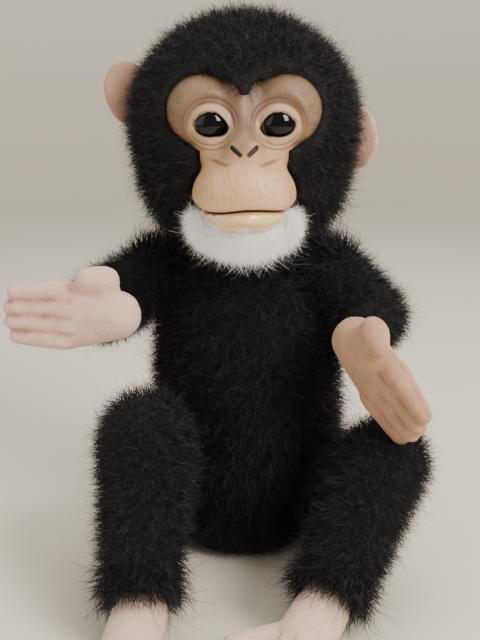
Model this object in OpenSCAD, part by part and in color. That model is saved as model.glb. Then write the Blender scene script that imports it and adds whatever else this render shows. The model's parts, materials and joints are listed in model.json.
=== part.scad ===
// Plush baby ape with a moulded vinyl face, a motor-driven jaw in the head and
// a battery and sound box behind a flap in the back. It sits on a flat seat.
// Millimetres. +Z is up, the toy faces -Y, and its own left side is +X.
// The origin is the middle of the seat, on the surface that it sits on.

/* [Fur and fabric] */
// Thickness of the fur fabric with its pile pressed flat
fabric_t = 2; // [1.5:0.1:3]
// Gap between the fur fabric and the skull under it
skull_gap = 4; // [3:0.5:5]

/* [Torso] */
// Height of the torso from the seat to the neck opening
torso_h = 176; // [146:1:212]
// Width of the belly
belly_w = 94; // [80:1:113]
// Depth of the belly, front to back
belly_d = 80; // [72:1:98]
// Width of the chest
chest_w = 88; // [74:1:106]
// Depth of the chest, front to back
chest_d = 68; // [60:1:82]
// Radius of the flat seat
seat_r = 36; // [30:1:43]
// Thickness of the seat gusset
seat_t = 3; // [2:0.5:4]
// Height of the pellet bag's top face
pellet_top = 24; // [18:1:28]

/* [Head] */
// Width of the head at the temples
head_w = 122; // [110:1:147]
// Depth of the head, front to back
head_d = 108; // [102:1:124]
// Height of the head from the cheeks' underside to the crown
head_h = 117; // [108:1:128]
// Width of the head at the cheeks
cheek_w = 104; // [100:1:120]
// Thickness of the vinyl face
vinyl_t = 2.2; // [1.5:0.1:3]
// Wall of the plastic skull
skull_t = 2.5; // [2:0.1:3]

/* [Face] */
// Distance between the centres of the eyes
eye_gap = 34.6; // [31:0.2:37]
// Radius of an eyeball
eye_r = 11; // [9.5:0.1:12]
// Width and height of the opening in front of an eye
eye_open = [18, 11.5]; // [9:0.5:20]
// Half width of the muzzle
muzzle_r = 30; // [27:0.5:31]
// How far the jaw opens, in degrees
jaw_open = 12; // [6:1:14]

/* [Arms] */
// Radius of the shoulder ball
shoulder_r = 19; // [16:0.5:22]
// Radius of the arm at the elbow
elbow_r = 17; // [14:0.5:20]
// Radius of the sleeve at the wrist
cuff_r = 14; // [12:0.5:16]
// Radius of the ball in the heel of the hand
wrist_r = 13; // [11:0.5:13.5]
// Length of a hand from the wrist to the fingertips
hand_l = 62; // [52:1:74]

/* [Legs] */
// Radius of the hip ball
hip_r = 21; // [18:0.5:24]
// Radius of the knee
knee_r = 21; // [18:0.5:24]
// Radius of the trouser hem at the ankle
hem_r = 17; // [15:0.5:19]
// Radius of the ball in the heel of the foot
heel_r = 14; // [12:0.5:15]
// Length of a foot from the heel's centre to the toes
foot_l = 58; // [48:1:68]
// How far a thigh lifts from its rest, in degrees
hip_lift = 8; // [3:1:12]

/* [Neck] */
// Radius of the ball that the head turns and nods on
neck_r = 17; // [14:0.5:18]
// Wall of the neck ring and of the neck cup
neck_wall = 3; // [2:0.5:4]

/* [Jaw drive] */
// Radius of the jaw pin and of the gear axle
pin_r = 1.5; // [1:0.1:2]
// Running clearance round a turning part, on the radius
running_gap = 0.05; // [0.02:0.01:0.1]
// Module of the jaw sector and of the pinion that drives it
sector_module = 1; // [0.85:0.05:1.2]
// Module of the wheel and of the motor's pinion
wheel_module = 0.6; // [0.5:0.05:0.72]
// Teeth of a whole wheel of the jaw sector's size
sector_teeth = 36; // [30:1:40]
// Teeth of the pinion that drives the sector
pinion_teeth = 12; // [11:1:14]
// Teeth of the wheel that the motor's pinion drives
wheel_teeth = 42; // [36:1:48]
// Teeth of the motor's pinion
motor_teeth = 12; // [11:1:14]
// Radius of the motor's can
motor_r = 10; // [8:0.5:12]
// Length of the motor's can
motor_l = 24; // [20:1:30]

/* [Battery box] */
// Radius of a cell, AA size
cell_r = 7.1; // [5.9:0.1:7.25]
// Length of a cell without its button
cell_l = 49.2; // [42:0.2:50]
// Number of cells side by side
cell_count = 3; // [2:1:3]
// Wall of the battery box
box_wall = 1.6; // [1.3:0.1:2]
// Depth of the space in front of the cells, for the board and the speaker
bay_d = 9; // [8:0.5:10]
// Travel of the power switch
switch_travel = 4; // [3:0.5:5]

/* [Hidden] */

eps = 0.01;
far = 400;
soft_fn = 20;       // facets round a stuffed form
small_fn = 10;      // facets round a finger or a toe
hollow_fn = 32;     // facets round a hollow that a limb turns in
round_fn = 64;

fur_black = [0.07, 0.06, 0.06];
fur_white = [0.92, 0.9, 0.86];
skin_pink = [0.85, 0.7, 0.64];
vinyl_tan = [0.78, 0.6, 0.45];
box_grey = [0.25, 0.25, 0.27];

// Torso: heights of the belly's and the chest's widest rings
belly_z = 50;
belly_y = -5;
chest_z = torso_h - 37;
belly_h = 42;       // half height of the belly's round
chest_h = 33;       // half height of the chest's round
neck_open_r = neck_r + neck_wall + 7;
side_seam_y = 2;
socket_gap = 0.5;   // between two soft forms that turn on each other
web_t = 1;          // the unstuffed ring of fabric between the torso and a limb
pocket_gap = 2 * socket_gap + web_t;

// Neck: centre of the ball
neck = [0, 0, torso_h + 5];
ring_top = -8;      // top of the neck ring, from the ball's centre
cup_low = 5;        // underside of the neck cup, from the ball's centre
ring_r = neck_r + neck_wall;
lead_r = 1.5;
lead_bore_r = 6.5;

// Head: heights are from the centre of the neck ball
head_base = 4;
crown_ry = head_d / 2;
crown_rz = 56;
crown = [0, 4, head_base + head_h - crown_rz];
cheek = [0, -2, head_base + 31];
cheek_ry = 44;
cheek_rz = 31;
skull_in = fabric_t + skull_gap;
skull_split_y = 8;
chassis_y = -24;    // front face of the chassis plate
chassis_t = 3;
skull_front_y = chassis_y + chassis_t + 0.5;
screw_r = 1.3;
boss_r = 4;
skull_bosses = [[23, crown[2] + 20.5], [35, cheek[2] + 12]];

// Face, from the centre of the neck ball
eye_z = 66;
eye_y = -38;
brow_x = 20.5;
brow_z = 73;
brow_r = 19.5;
muzzle_z = 36;
mouth_z = 25;
mouth_gap = 0.4;    // between the upper and the lower lip
face_gap = 0.3;     // between the face and the fur round it
jaw_slot = 32;      // half width of the gap that the jaw swings in

// Jaw drive, in the plane of Y and Z
jaw_axis = [-12, 34];
sector_r = sector_module * sector_teeth / 2;
sector_half = 2.5 * 360 / sector_teeth;
pinion_pitch_r = sector_module * pinion_teeth / 2;
wheel_r = wheel_module * wheel_teeth / 2;
motor_pitch_r = wheel_module * motor_teeth / 2;
train_angle = 60;   // direction of the drive gear from the jaw axis
motor_angle = 75;   // direction of the motor from the drive gear
mesh_gap = 0.1;     // added to each distance between centres
washer_r = 7;       // of the washers behind the eyes
gear_axis = jaw_axis + (sector_r + pinion_pitch_r + mesh_gap) * [cos(train_angle), sin(train_angle)];
motor_axis = gear_axis + (wheel_r + motor_pitch_r + mesh_gap) * [cos(motor_angle), sin(motor_angle)];
cheek_a = [3, 5.5]; // from and to, along X, of the plate that holds the motor
cheek_b = [18, 20.5];
sector_x = [7.5, 11.5];
pinion_x = [7, 12.5];
wheel_x = [12.5, 15.5];
motor_pinion_x = [12, 16];
jaw_arm_x = [16, 19];
jaw_front = [-42, mouth_z - 6]; // middle of the round at the front of a jaw arm
hub_x = 25;         // half length of the jaw's hub
lug_x = [26, 29.5];
hub_r = 4.5;

// Limbs: the toy's left side. The right side is its mirror image, apart from
// the knees and the hands.
shoulder = [chest_w / 2 + 6, -2, torso_h - 17];
right_elbow = shoulder + [30, -12, -14];
left_elbow = shoulder + [23, -12, -20];
right_wrist = shoulder + [17, -49, -10];
left_wrist = shoulder + [9, -53, -23];
cuff_back = 28;     // the sleeve's end round, back from the wrist
hip = [belly_w / 2 + 2, -31, 32];
left_knee = [hip[0] + 26, -62, 70];
left_ankle = [hip[0] - 11, -120, 17];
right_knee = [hip[0] + 4, -64, 86];
right_ankle = [hip[0] + 2, -123, 17];
hem_back = 16;      // the leg sleeve's end round, back from the ankle

// Battery box
cell_pitch = 2 * cell_r + 0.6;
box_w = cell_count * cell_pitch + 2 * box_wall + 2;
contact_l = 3.4;
cell_bay_h = cell_l + 2 * contact_l + 0.4;
switch_bay_h = 12;
box_h = cell_bay_h + switch_bay_h + 2 * box_wall;
cell_bay_d = 2 * cell_r + 1;
box_d = bay_d + cell_bay_d + 2 * box_wall;
box_low_z = pellet_top + 18;
box_mid = [0, box_d / 2 - bay_d * 2 / 3, box_low_z + box_h / 2];
cover_t = 1.6;
board_t = 1.6;
head_t = 1.4;       // thickness of a screw's head
speaker_r = 14;

// Back flap
flap_w = box_w - 6;
flap_low = box_low_z + 4;
flap_high = box_low_z + box_h - 4;
flap_gap = 0.5;
strip_t = 1.2;
strip_w = 8;

// ---- shared shapes ----

// A sewn or moulded soft form, kept as one skin
module sewn() {
    resize([0, 0, 0]) children();
}

module ellipsoid(centre, radii, fn = soft_fn) {
    translate(centre) scale(radii) sphere(1, $fn = fn);
}

// A box from its low corner to its high corner
module block(low, high) {
    translate(low) cube(high - low);
}

// A bar along X: 2D children in the plane of Y and Z, from and to
module along_x(span) {
    translate([span[0], 0, 0]) rotate([90, 0, 90]) linear_extrude(span[1] - span[0]) children();
}

// A prism along Y: 2D children in the plane of X and Z, from and to
module along_y(from, to) {
    translate([0, to, 0]) rotate([90, 0, 0]) linear_extrude(to - from) children();
}

// A round rod along X at a place in the plane of Y and Z
module rod_x(place, span, r) {
    translate([span[0], place[0], place[1]]) rotate([0, 90, 0])
        cylinder(r = r, h = span[1] - span[0], $fn = round_fn);
}

// A round rod along Y at a place in the plane of X and Z
module rod_y(place, from, to, r, fn = round_fn) {
    translate([place[0], from, place[1]]) rotate([-90, 0, 0])
        cylinder(r = r, h = to - from, $fn = fn);
}

module both_sides() {
    children();
    mirror([1, 0, 0]) children();
}

module stuffed_tube(a, ra, b, rb) {
    hull() {
        translate(a) sphere(ra, $fn = soft_fn);
        translate(b) sphere(rb, $fn = soft_fn);
    }
}

// ---- torso ----

// The torso's form, drawn in by inset all round
module torso_form(inset) {
    hull() {
        translate([0, belly_y, inset]) scale([1, 0.92, 1])
            cylinder(r = seat_r - inset, h = 1, $fn = soft_fn * 2);
        ellipsoid([0, belly_y, belly_z],
                  [belly_w / 2 - inset, belly_d / 2 - inset, belly_h - inset], soft_fn * 1.5);
        ellipsoid([0, 0, chest_z],
                  [chest_w / 2 - inset, chest_d / 2 - inset, chest_h - inset], soft_fn * 1.5);
        translate([0, 0, torso_h - 1 - inset]) cylinder(r = neck_open_r - inset, h = 1, $fn = soft_fn * 2);
    }
}

// Hollows that the limbs turn in, and the neck's opening
module torso_hollows() {
    both_sides() {
        translate(shoulder) sphere(shoulder_r + pocket_gap, $fn = hollow_fn);
    }
    thigh_room(left_knee);
    mirror([1, 0, 0]) thigh_room(right_knee);
    translate([0, 0, torso_h - 30]) cylinder(r = ring_r + socket_gap, h = 60, $fn = hollow_fn);
}

// Room beside the belly for a thigh, from its rest to its highest place
module thigh_room(knee) {
    room = socket_gap + 0.4;
    run = (knee - hip) * 0.55;
    translate(hip) hull() {
        sphere(hip_r + room, $fn = hollow_fn);
        for (lift = [0, -hip_lift - 1])
            rotate([lift, 0, 0]) translate(run)
                sphere(hip_r + (knee_r - hip_r) * 0.55 + room, $fn = hollow_fn);
    }
}

module torso_skin(from = 0, to = fabric_t) {
    difference() {
        torso_form(from);
        torso_form(to);
        torso_hollows();
    }
}

module flap_window(grow = 0) {
    block([-flap_w / 2 - grow, 0, flap_low - grow], [flap_w / 2 + grow, far, flap_high + grow]);
}

module torso_front_panel() {
    color(fur_black) sewn() intersection() {
        torso_skin();
        block([-far, -far, seat_t], [far, side_seam_y, far]);
    }
}

module torso_back_panel(side) {
    color(fur_black) sewn() difference() {
        intersection() {
            torso_skin();
            block([side > 0 ? 0 : -far, side_seam_y, seat_t], [side > 0 ? far : 0, far, far]);
        }
        flap_window();
    }
}

module seat_panel() {
    color(fur_black) sewn() difference() {
        intersection() {
            torso_form(0);
            block([-far, -far, 0], [far, far, seat_t]);
        }
        torso_hollows();
    }
}

module back_flap() {
    color(fur_black) sewn() intersection() {
        torso_skin();
        flap_window(-flap_gap);
    }
}

// Where the strips lie under the flap's free edge
module strip_zone(x_from, x_to) {
    block([x_from, 0, flap_low + 2], [x_to, far, flap_high - 2]);
}

module hook_strip() {
    color("dimgray") sewn() intersection() {
        torso_skin(fabric_t, fabric_t + strip_t);
        strip_zone(-flap_w / 2 + 1, -flap_w / 2 + 1 + strip_w);
    }
}

module loop_strip() {
    color("gray") sewn() union() {
        intersection() {
            torso_skin(fabric_t + strip_t + 0.3, fabric_t + 2 * strip_t + 0.3);
            strip_zone(-flap_w / 2 - 4, -flap_w / 2 + 1 + strip_w);
        }
        intersection() {
            torso_skin(fabric_t, fabric_t + 2 * strip_t + 0.3);
            strip_zone(-flap_w / 2 - 4, -flap_w / 2 - 1);
        }
    }
}

module torso_stuffing() {
    pocket = socket_gap;
    strips = flap_w / 2 + 5;
    color("white") sewn() difference() {
        intersection() {
            torso_form(fabric_t);
            block([-far, -far, pellet_top + 0.2], [far, far, far]);
        }
        torso_hollows();
        block([-box_w / 2 - pocket, box_mid[1] - box_d / 2 - pocket - cover_t - head_t, box_low_z - pocket],
              [box_w / 2 + pocket, far, box_low_z + box_h + pocket]);
        block([-strips, box_mid[1], flap_low], [strips, far, flap_high]);
        translate([0, 0, box_low_z + box_h]) cylinder(r = lead_bore_r, h = far, $fn = soft_fn);
    }
}

module pellet_bag() {
    color("beige") sewn() difference() {
        intersection() {
            torso_form(fabric_t);
            block([-far, -far, seat_t], [far, far, pellet_top]);
        }
        torso_hollows();
    }
}

// ---- battery and sound box ----

// The box opens to the back for the cells and to the front for the board and
// the speaker. A wall stands between.
module battery_box() {
    low = box_mid - [box_w, box_d, box_h] / 2;
    high = box_mid + [box_w, box_d, box_h] / 2;
    cells_y = high[1] - cell_bay_d;
    color(box_grey) difference() {
        block(low, high);
        block([low[0] + box_wall, cells_y, low[2] + box_wall],
              [high[0] - box_wall, far, low[2] + box_wall + cell_bay_h]);
        block([low[0] + box_wall, low[1] - 1, low[2] + box_wall],
              [high[0] - box_wall, cells_y - box_wall, high[2] - box_wall]);
        block([low[0] + 6, cells_y, switch_z() - 4], [high[0] - 6, high[1] - box_wall, switch_z() + 4]);
        block([-switch_travel - 2.2, high[1] - 3, switch_z() - 1.7],
              [switch_travel / 2 + 2.2, far, switch_z() + 1.7]);
        translate([0, 0, high[2] - 5]) cylinder(r = lead_r + 0.5, h = 10, $fn = round_fn);
        rod_y(cover_screw(), high[1] - 5.5, high[1] + 1, screw_r + eps);
        for (x = [-1, 1], z = [-1, 1])
            rod_y(grille_screw(x, z), low[1] - 1, low[1] + 5, screw_r);
    }
    for (x = [-1, 1], z = [-1, 1])
        color(box_grey) difference() {
            rod_y(grille_screw(x, z), low[1], cells_y - box_wall, 2.6);
            rod_y(grille_screw(x, z), low[1] - 1, low[1] + 5, screw_r);
        }
}

function switch_z() = box_low_z + box_h - box_wall - switch_bay_h / 2;
function cover_screw() = [box_w / 2 - 3, box_low_z + cell_bay_h + 2 * box_wall + 3];
function grille_screw(x, z) = [box_mid[0] + x * (box_w / 2 - 4), box_mid[2] + z * (box_h / 2 - 4)];

module battery_cover() {
    back = box_mid[1] + box_d / 2;
    color(box_grey) difference() {
        union() {
            block([-box_w / 2, back + eps, box_low_z],
                  [box_w / 2, back + cover_t, box_low_z + cell_bay_h + 2 * box_wall]);
            block([box_w / 2 - 6, back + eps, box_low_z], [box_w / 2, back + cover_t, cover_screw()[1] + 3]);
            for (z = [0.3, 0.7])
                block([-6, back, box_low_z + cell_bay_h * z],
                      [6, back + cover_t + 0.8, box_low_z + cell_bay_h * z + 2]);
        }
        rod_y(cover_screw(), back - 1, back + 9, screw_r + 0.2);
    }
}

module battery_cells() {
    cell_y = box_mid[1] + box_d / 2 - cell_bay_d / 2;
    for (i = [0 : cell_count - 1])
        translate([(i - (cell_count - 1) / 2) * cell_pitch, cell_y, box_low_z + box_wall + contact_l + 0.2]) {
            color("goldenrod") cylinder(r = cell_r, h = cell_l - 1.2, $fn = round_fn);
            color("silver") translate([0, 0, cell_l - 1.2]) cylinder(r = 2.7, h = 1.2, $fn = round_fn);
        }
}

// Flat contact plates with a stud that presses on each cell
module battery_contacts() {
    cell_y = box_mid[1] + box_d / 2 - cell_bay_d / 2;
    low = box_low_z + box_wall;
    color("silver") for (i = [0 : cell_count - 1])
        translate([(i - (cell_count - 1) / 2) * cell_pitch, cell_y, low]) {
            translate([-5, -5, 0]) cube([10, 10, 0.6]);
            translate([0, 0, 0.6]) cylinder(r1 = 4.5, r2 = 2, h = contact_l - 0.6, $fn = round_fn);
            translate([-5, -5, cell_bay_h - 0.6]) cube([10, 10, 0.6]);
            translate([0, 0, cell_bay_h - contact_l + 0.2])
                cylinder(r = 2, h = contact_l - 0.8, $fn = round_fn);
        }
}

module circuit_board() {
    front = box_mid[1] - box_d / 2;
    low = box_low_z + box_wall;
    color("darkgreen") block([-box_w / 2 + 8, front + bay_d - board_t, low + 2],
                             [box_w / 2 - 8, front + bay_d, low + cell_bay_h - 8]);
    color("black") block([-6, front + bay_d - board_t - 1.5, low + 8],
                         [6, front + bay_d - board_t, low + 18]);
}

module speaker() {
    front = box_mid[1] - box_d / 2;
    color("dimgray") {
        rod_y([0, box_mid[2]], front + eps, front + 2.5, speaker_r);
        rod_y([0, box_mid[2]], front + 2.5, front + 4.5, speaker_r * 0.55);
    }
}

module speaker_grille() {
    front = box_mid[1] - box_d / 2;
    color(box_grey) difference() {
        block([-box_w / 2, front - cover_t, box_low_z], [box_w / 2, front, box_low_z + box_h]);
        for (ring = [0 : 2], k = [0 : max(0, ring * 6 - 1)]) {
            turn = ring == 0 ? 0 : k * 360 / (ring * 6);
            rod_y([ring * 4.4 * cos(turn), box_mid[2] + ring * 4.4 * sin(turn)], front - 9, front + 9, 1.1);
        }
        for (x = [-1, 1], z = [-1, 1])
            rod_y(grille_screw(x, z), front - 9, front + 9, screw_r + 0.2);
    }
}

module screw_y(place, head_y, tip_y) {
    way = tip_y > head_y ? 1 : -1;
    rod_y(place, min(head_y, tip_y), max(head_y, tip_y), screw_r);
    rod_y(place, min(head_y, head_y - way * head_t), max(head_y, head_y - way * head_t), screw_r + 1.2);
}

module box_screws() {
    front = box_mid[1] - box_d / 2;
    back = box_mid[1] + box_d / 2;
    color("silver") {
        for (x = [-1, 1], z = [-1, 1])
            screw_y(grille_screw(x, z), front - cover_t, front + 4.5);
        screw_y(cover_screw(), back + cover_t, back - 5);
    }
}

module power_switch() {
    back = box_mid[1] + box_d / 2;
    color("white") {
        block([-6, back - box_wall - 1.6, switch_z() - 3], [0, back - box_wall - 0.1, switch_z() + 3]);
        block([-3.5, back - box_wall - 0.1, switch_z() - 1.5], [-0.5, back + 1.6, switch_z() + 1.5]);
    }
}

// ---- neck ----

module neck_ring() {
    color("ivory") difference() {
        translate(neck + [0, 0, -24]) cylinder(r = ring_r, h = 24 + ring_top, $fn = round_fn);
        translate(neck) sphere(neck_r + 0.3, $fn = round_fn);
        translate(neck + [0, 0, -30]) cylinder(r = lead_bore_r + 1, h = 20, $fn = round_fn);
    }
}

module neck_ball() {
    color(fur_black) difference() {
        translate(neck) sphere(neck_r, $fn = round_fn);
        translate(neck + [0, 0, -neck_r - 1]) cylinder(r = lead_bore_r, h = 2 * neck_r + 2, $fn = round_fn);
    }
}

// A nylon tie that gathers the fabric round the ball's waist
module neck_cable_tie() {
    color("white") translate(neck) {
        difference() {
            cylinder(r = neck_r + 2, h = 3.6, center = true, $fn = round_fn);
            cylinder(r = neck_r + eps, h = 9, center = true, $fn = round_fn);
        }
        translate([-2.5, neck_r + 1.2, -2]) cube([5, 2.4, 4]);
    }
}

module neck_cup() {
    color("ivory") difference() {
        translate(neck + [0, 0, cup_low]) cylinder(r = ring_r, h = 19, $fn = round_fn);
        translate(neck) sphere(neck_r + 0.3, $fn = round_fn);
        translate(neck) cylinder(r = lead_bore_r, h = 40, $fn = round_fn);
    }
}

module neck_lead() {
    color("firebrick") tube([0, 0, box_low_z + box_h - 8], neck - [0, 0, 1]);
}

// A straight round wire with a ball at its far end
module tube(from, to, fn = round_fn) {
    run = to - from;
    length = norm(run);
    translate(from) rotate([0, acos(run[2] / length), atan2(run[1], run[0])]) {
        cylinder(r = lead_r, h = length, $fn = fn);
        translate([0, 0, length]) sphere(lead_r, $fn = fn);
    }
}

// ---- head ----

// Everything in the head is placed from the centre of the neck ball
module on_neck() {
    translate(neck) children();
}

module head_form(inset, fn = soft_fn * 1.5) {
    hull() {
        ellipsoid(crown, [head_w / 2 - inset, crown_ry - inset, crown_rz - inset], fn);
        ellipsoid(cheek, [cheek_w / 2 - inset, cheek_ry - inset, cheek_rz - inset], fn);
    }
}

// Outline of the head where a plane across Y cuts it
module head_section(y, inset) {
    hull() for (form = [[crown, head_w / 2, crown_ry, crown_rz], [cheek, cheek_w / 2, cheek_ry, cheek_rz]]) {
        share = sqrt(1 - pow((y - form[0][1]) / (form[2] - inset), 2));
        translate([form[0][0], form[0][2]]) scale([(form[1] - inset) * share, (form[3] - inset) * share])
            circle(1, $fn = round_fn);
    }
}

// The face's outline from the front, grown by grow
module face_outline(grow) {
    for (side = [-1, 1]) {
        hull() {
            translate([side * brow_x, brow_z]) circle(brow_r + grow, $fn = soft_fn * 2);
            translate([side * 12, muzzle_z + 14]) circle(14 + grow, $fn = soft_fn * 2);
        }
    }
    hull() {
        translate([-8, brow_z - 2]) circle(12 + grow, $fn = soft_fn * 2);
        translate([8, brow_z - 2]) circle(12 + grow, $fn = soft_fn * 2);
        for (side = [-1, 1])
            translate([side * (muzzle_r - 17), muzzle_z]) circle(17 + grow, $fn = soft_fn * 2);
    }
}

module jaw_gap() {
    block([-jaw_slot, -far, -far], [jaw_slot, -20, muzzle_z]);
}

module head_fur(side) {
    color(fur_black) on_neck() sewn() difference() {
        intersection() {
            head_form(0);
            block([side > 0 ? 0 : -far, -far, -far], [side > 0 ? far : 0, far, far]);
        }
        head_form(fabric_t);
        along_y(-far, -10) face_outline(face_gap);
        jaw_gap();
        translate([0, 0, -far]) cylinder(r = ring_r + socket_gap, h = far + cup_low + 25, $fn = soft_fn * 2);
    }
}

module skull_shell(from_y, to_y) {
    difference() {
        intersection() {
            head_form(skull_in, soft_fn);
            block([-far, from_y, -far], [far, to_y, far]);
        }
        head_form(skull_in + skull_t, soft_fn);
        translate([0, 0, -far]) cylinder(r = ring_r + 0.3, h = far + cup_low + 25, $fn = hollow_fn);
    }
}

// A screw boss that runs along Y and joins the skull's wall
module skull_boss(boss, from_y, to_y, r) {
    intersection() {
        hull() {
            rod_y(boss, from_y, to_y, r, soft_fn);
            rod_y(boss + 14 * [boss[0], boss[1] - cheek[2] - 8] / norm(boss), from_y, to_y, r, soft_fn);
        }
        head_form(skull_in + eps, soft_fn);
    }
}

// Room for the motor between the bosses
module motor_room() {
    rod_x(motor_axis, [cheek_a[0] - motor_l - 0.4, cheek_a[0]], motor_r + 0.4);
}

module skull_front() {
    color("ivory") on_neck() sewn() difference() {
        union() {
            skull_shell(skull_front_y, skull_split_y);
            both_sides() for (boss = skull_bosses)
                skull_boss(boss, skull_front_y, skull_split_y, boss_r);
        }
        both_sides() for (boss = skull_bosses)
            rod_y(boss, skull_front_y - 1, skull_split_y + 1, screw_r + 0.1, small_fn);
        jaw_gap();
        motor_room();
    }
}

module skull_back() {
    well = skull_split_y + 22;
    color("ivory") on_neck() sewn() difference() {
        union() {
            skull_shell(skull_split_y, far);
            both_sides() for (boss = skull_bosses)
                skull_boss(boss, skull_split_y + eps, far, boss_r + 1);
        }
        both_sides() for (boss = skull_bosses) {
            rod_y(boss, skull_split_y - 1, far, screw_r + 0.2, small_fn);
            rod_y(boss, well, far, boss_r - 0.5, soft_fn);
        }
        motor_room();
    }
}

module skull_screws() {
    well = skull_split_y + 22;
    color("silver") on_neck() both_sides() for (boss = skull_bosses)
        screw_y(boss, well + 1.4, -4);
}

module chassis_screws() {
    color("silver") on_neck() both_sides() for (boss = skull_bosses)
        screw_y(boss, chassis_y, -6);
}

// The plate that carries the eyes, the jaw's lugs and the gear train
module face_chassis() {
    back = chassis_y + chassis_t;
    foot_top = min(gear_axis[1] + 3, eye_z - washer_r - 0.5);
    color("ivory") on_neck() difference() {
        union() {
            along_y(chassis_y, back) difference() {
                head_section(chassis_y, skull_in + 1);
                translate([-hub_x - 0.6, -far]) square([2 * hub_x + 1.2, far + 44]);
                for (side = [-1, 1])
                    translate([side * eye_gap / 2, eye_z]) circle(2.5, $fn = round_fn);
                for (side = [-1, 1], boss = skull_bosses)
                    translate([side * boss[0], boss[1]]) circle(screw_r + 0.2, $fn = round_fn);
            }
            both_sides() block([lug_x[0], back - eps, jaw_axis[1] - 6],
                               [lug_x[1], jaw_axis[0] + 6, jaw_axis[1] + 6]);
            along_x(cheek_a) hull() {
                translate(gear_axis) circle(5, $fn = round_fn);
                translate(motor_axis) circle(motor_r + 1, $fn = round_fn);
                translate([back - eps, gear_axis[1] - 6]) square([2, motor_axis[1] - gear_axis[1] + 14]);
            }
            along_x(cheek_b) hull() {
                translate(gear_axis) circle(4, $fn = round_fn);
                translate([back - eps, foot_top - 13]) square([2, 13]);
            }
        }
        both_sides() rod_x(jaw_axis, lug_x + [-1, 1], pin_r);
        rod_x(gear_axis, [cheek_a[0] - 1, cheek_b[1] + 1], pin_r);
        rod_x(motor_axis, cheek_a + [-1, 1], 3);
    }
}

module face_form(inset) {
    both_sides() hull() {
        ellipsoid([brow_x, -30, brow_z], [brow_r - inset, 22 - inset, brow_r - inset]);
        ellipsoid([12, -36, muzzle_z + 14], [14 - inset, 16 - inset, 14 - inset], small_fn);
    }
    hull() {
        ellipsoid([-8, -34, brow_z - 2], [12 - inset, 17 - inset, 12 - inset]);
        ellipsoid([8, -34, brow_z - 2], [12 - inset, 17 - inset, 12 - inset]);
        ellipsoid([0, -52, muzzle_z + 17], [9 - inset, 11 - inset, 7 - inset]);
    }
    hull() {
        both_sides() ellipsoid([muzzle_r - 17, -42, muzzle_z], [17 - inset, 28 - inset, 15 - inset]);
        ellipsoid([0, -50, muzzle_z + 2], [14 - inset, 28 - inset, 15 - inset]);
    }
}

module eye_opening() {
    long = eye_open[0] / 2;
    high = eye_open[1] / 2;
    hull() {
        translate([-1, 0]) scale([0.62 * long, high]) circle(1, $fn = soft_fn * 2);
        translate([long - 1, -1]) circle(1, $fn = soft_fn);
        translate([1 - long, -1]) circle(1, $fn = soft_fn);
    }
}

module face_mask() {
    color(vinyl_tan) on_neck() sewn() difference() {
        face_form(0);
        face_form(vinyl_t);
        block([-far, chassis_y - 0.2, -far], [far, far, far]);
        block([-far, -far, -far], [far, far, mouth_z]);
        block([-cheek_b[0], chassis_y - 7, -far], [cheek_b[0], far, mouth_z + 3]);
        jaw_arms(0.6);
        along_y(-far, eye_y) for (side = [-1, 1])
            translate([side * eye_gap / 2, eye_z]) eye_opening();
        along_y(-far, -50) for (side = [-1, 1]) hull() {
            translate([side * 2.6, muzzle_z + 15.5]) circle(1, $fn = small_fn);
            translate([side * 6.2, muzzle_z + 18.5]) circle(1, $fn = small_fn);
        }
    }
}

// A domed eye on a stem that goes back through the chassis
module eye(side) {
    color([0.05, 0.04, 0.04]) on_neck() {
        place = [side * eye_gap / 2, eye_z];
        intersection() {
            translate([place[0], eye_y, place[1]]) sphere(eye_r, $fn = round_fn);
            block([-far, -far, -far], [far, eye_y + 4, far]);
        }
        rod_y(place, eye_y + 3, chassis_y + chassis_t + 5, 2.4);
    }
}

module eye_washers() {
    back = chassis_y + chassis_t;
    color("silver") on_neck() for (side = [-1, 1]) difference() {
        rod_y([side * eye_gap / 2, eye_z], back, back + 1.6, washer_r);
        rod_y([side * eye_gap / 2, eye_z], back - 1, back + 3, 2.4);
    }
}

// A flat cupped ear of two layers, sewn to the side of the head
module ear(side) {
    place = side > 0 ? [61, 8, 56] : [62, 4, 80];
    lean = side > 0 ? 12 : -16;
    color(skin_pink) on_neck() sewn() difference() {
        translate([side * place[0] * head_w / 120, place[1], place[2]])
            rotate([lean, side * 8, side * -28]) scale([15, 3.4, 19]) sphere(1, $fn = soft_fn);
        head_form(0);
    }
}

module jaw_motor() {
    color("silver") on_neck() rod_x(motor_axis, [cheek_a[0] - motor_l, cheek_a[0]], motor_r);
    color("white") on_neck() rod_x(motor_axis, [cheek_a[0] - motor_l - 2, cheek_a[0] - motor_l], 4);
}

module gear_axle() {
    color("silver") on_neck() rod_x(gear_axis, [cheek_a[0], cheek_b[1]], pin_r);
}

module jaw_pin() {
    color("silver") on_neck() rod_x(jaw_axis, [-lug_x[1], lug_x[1]], pin_r);
}

module motor_lead() {
    bend = [0, 0, 40];
    side = [cheek_a[0] - motor_l - 8, 6, 56];
    end = [cheek_a[0] - motor_l - 3.6, motor_axis[0], motor_axis[1]];
    color("firebrick") on_neck() sewn() {
        tube([0, 0, lead_r + 1], bend, small_fn);
        tube(bend, side, small_fn);
        tube(side, end, small_fn);
    }
}

// ---- jaw and its gears ----

function involute(angle) = tan(angle) - angle * PI / 180;

// Half the width of a tooth at radius r, as an angle
function tooth_half(teeth, module_size, r, slack) =
    let (pitch = teeth * module_size / 2,
         base = pitch * cos(20),
         at = acos(min(1, base / max(r, base))))
    90 / teeth - slack / pitch * 180 / PI / 2 + (involute(20) - involute(at)) * 180 / PI;

function gear_radii(teeth, module_size) =
    let (pitch = teeth * module_size / 2, root = pitch - 1.2 * module_size, tip = pitch + 0.85 * module_size)
    [root, for (k = [0 : 4]) max(root, pitch * cos(20)) + (tip - max(root, pitch * cos(20))) * k / 4];

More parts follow.
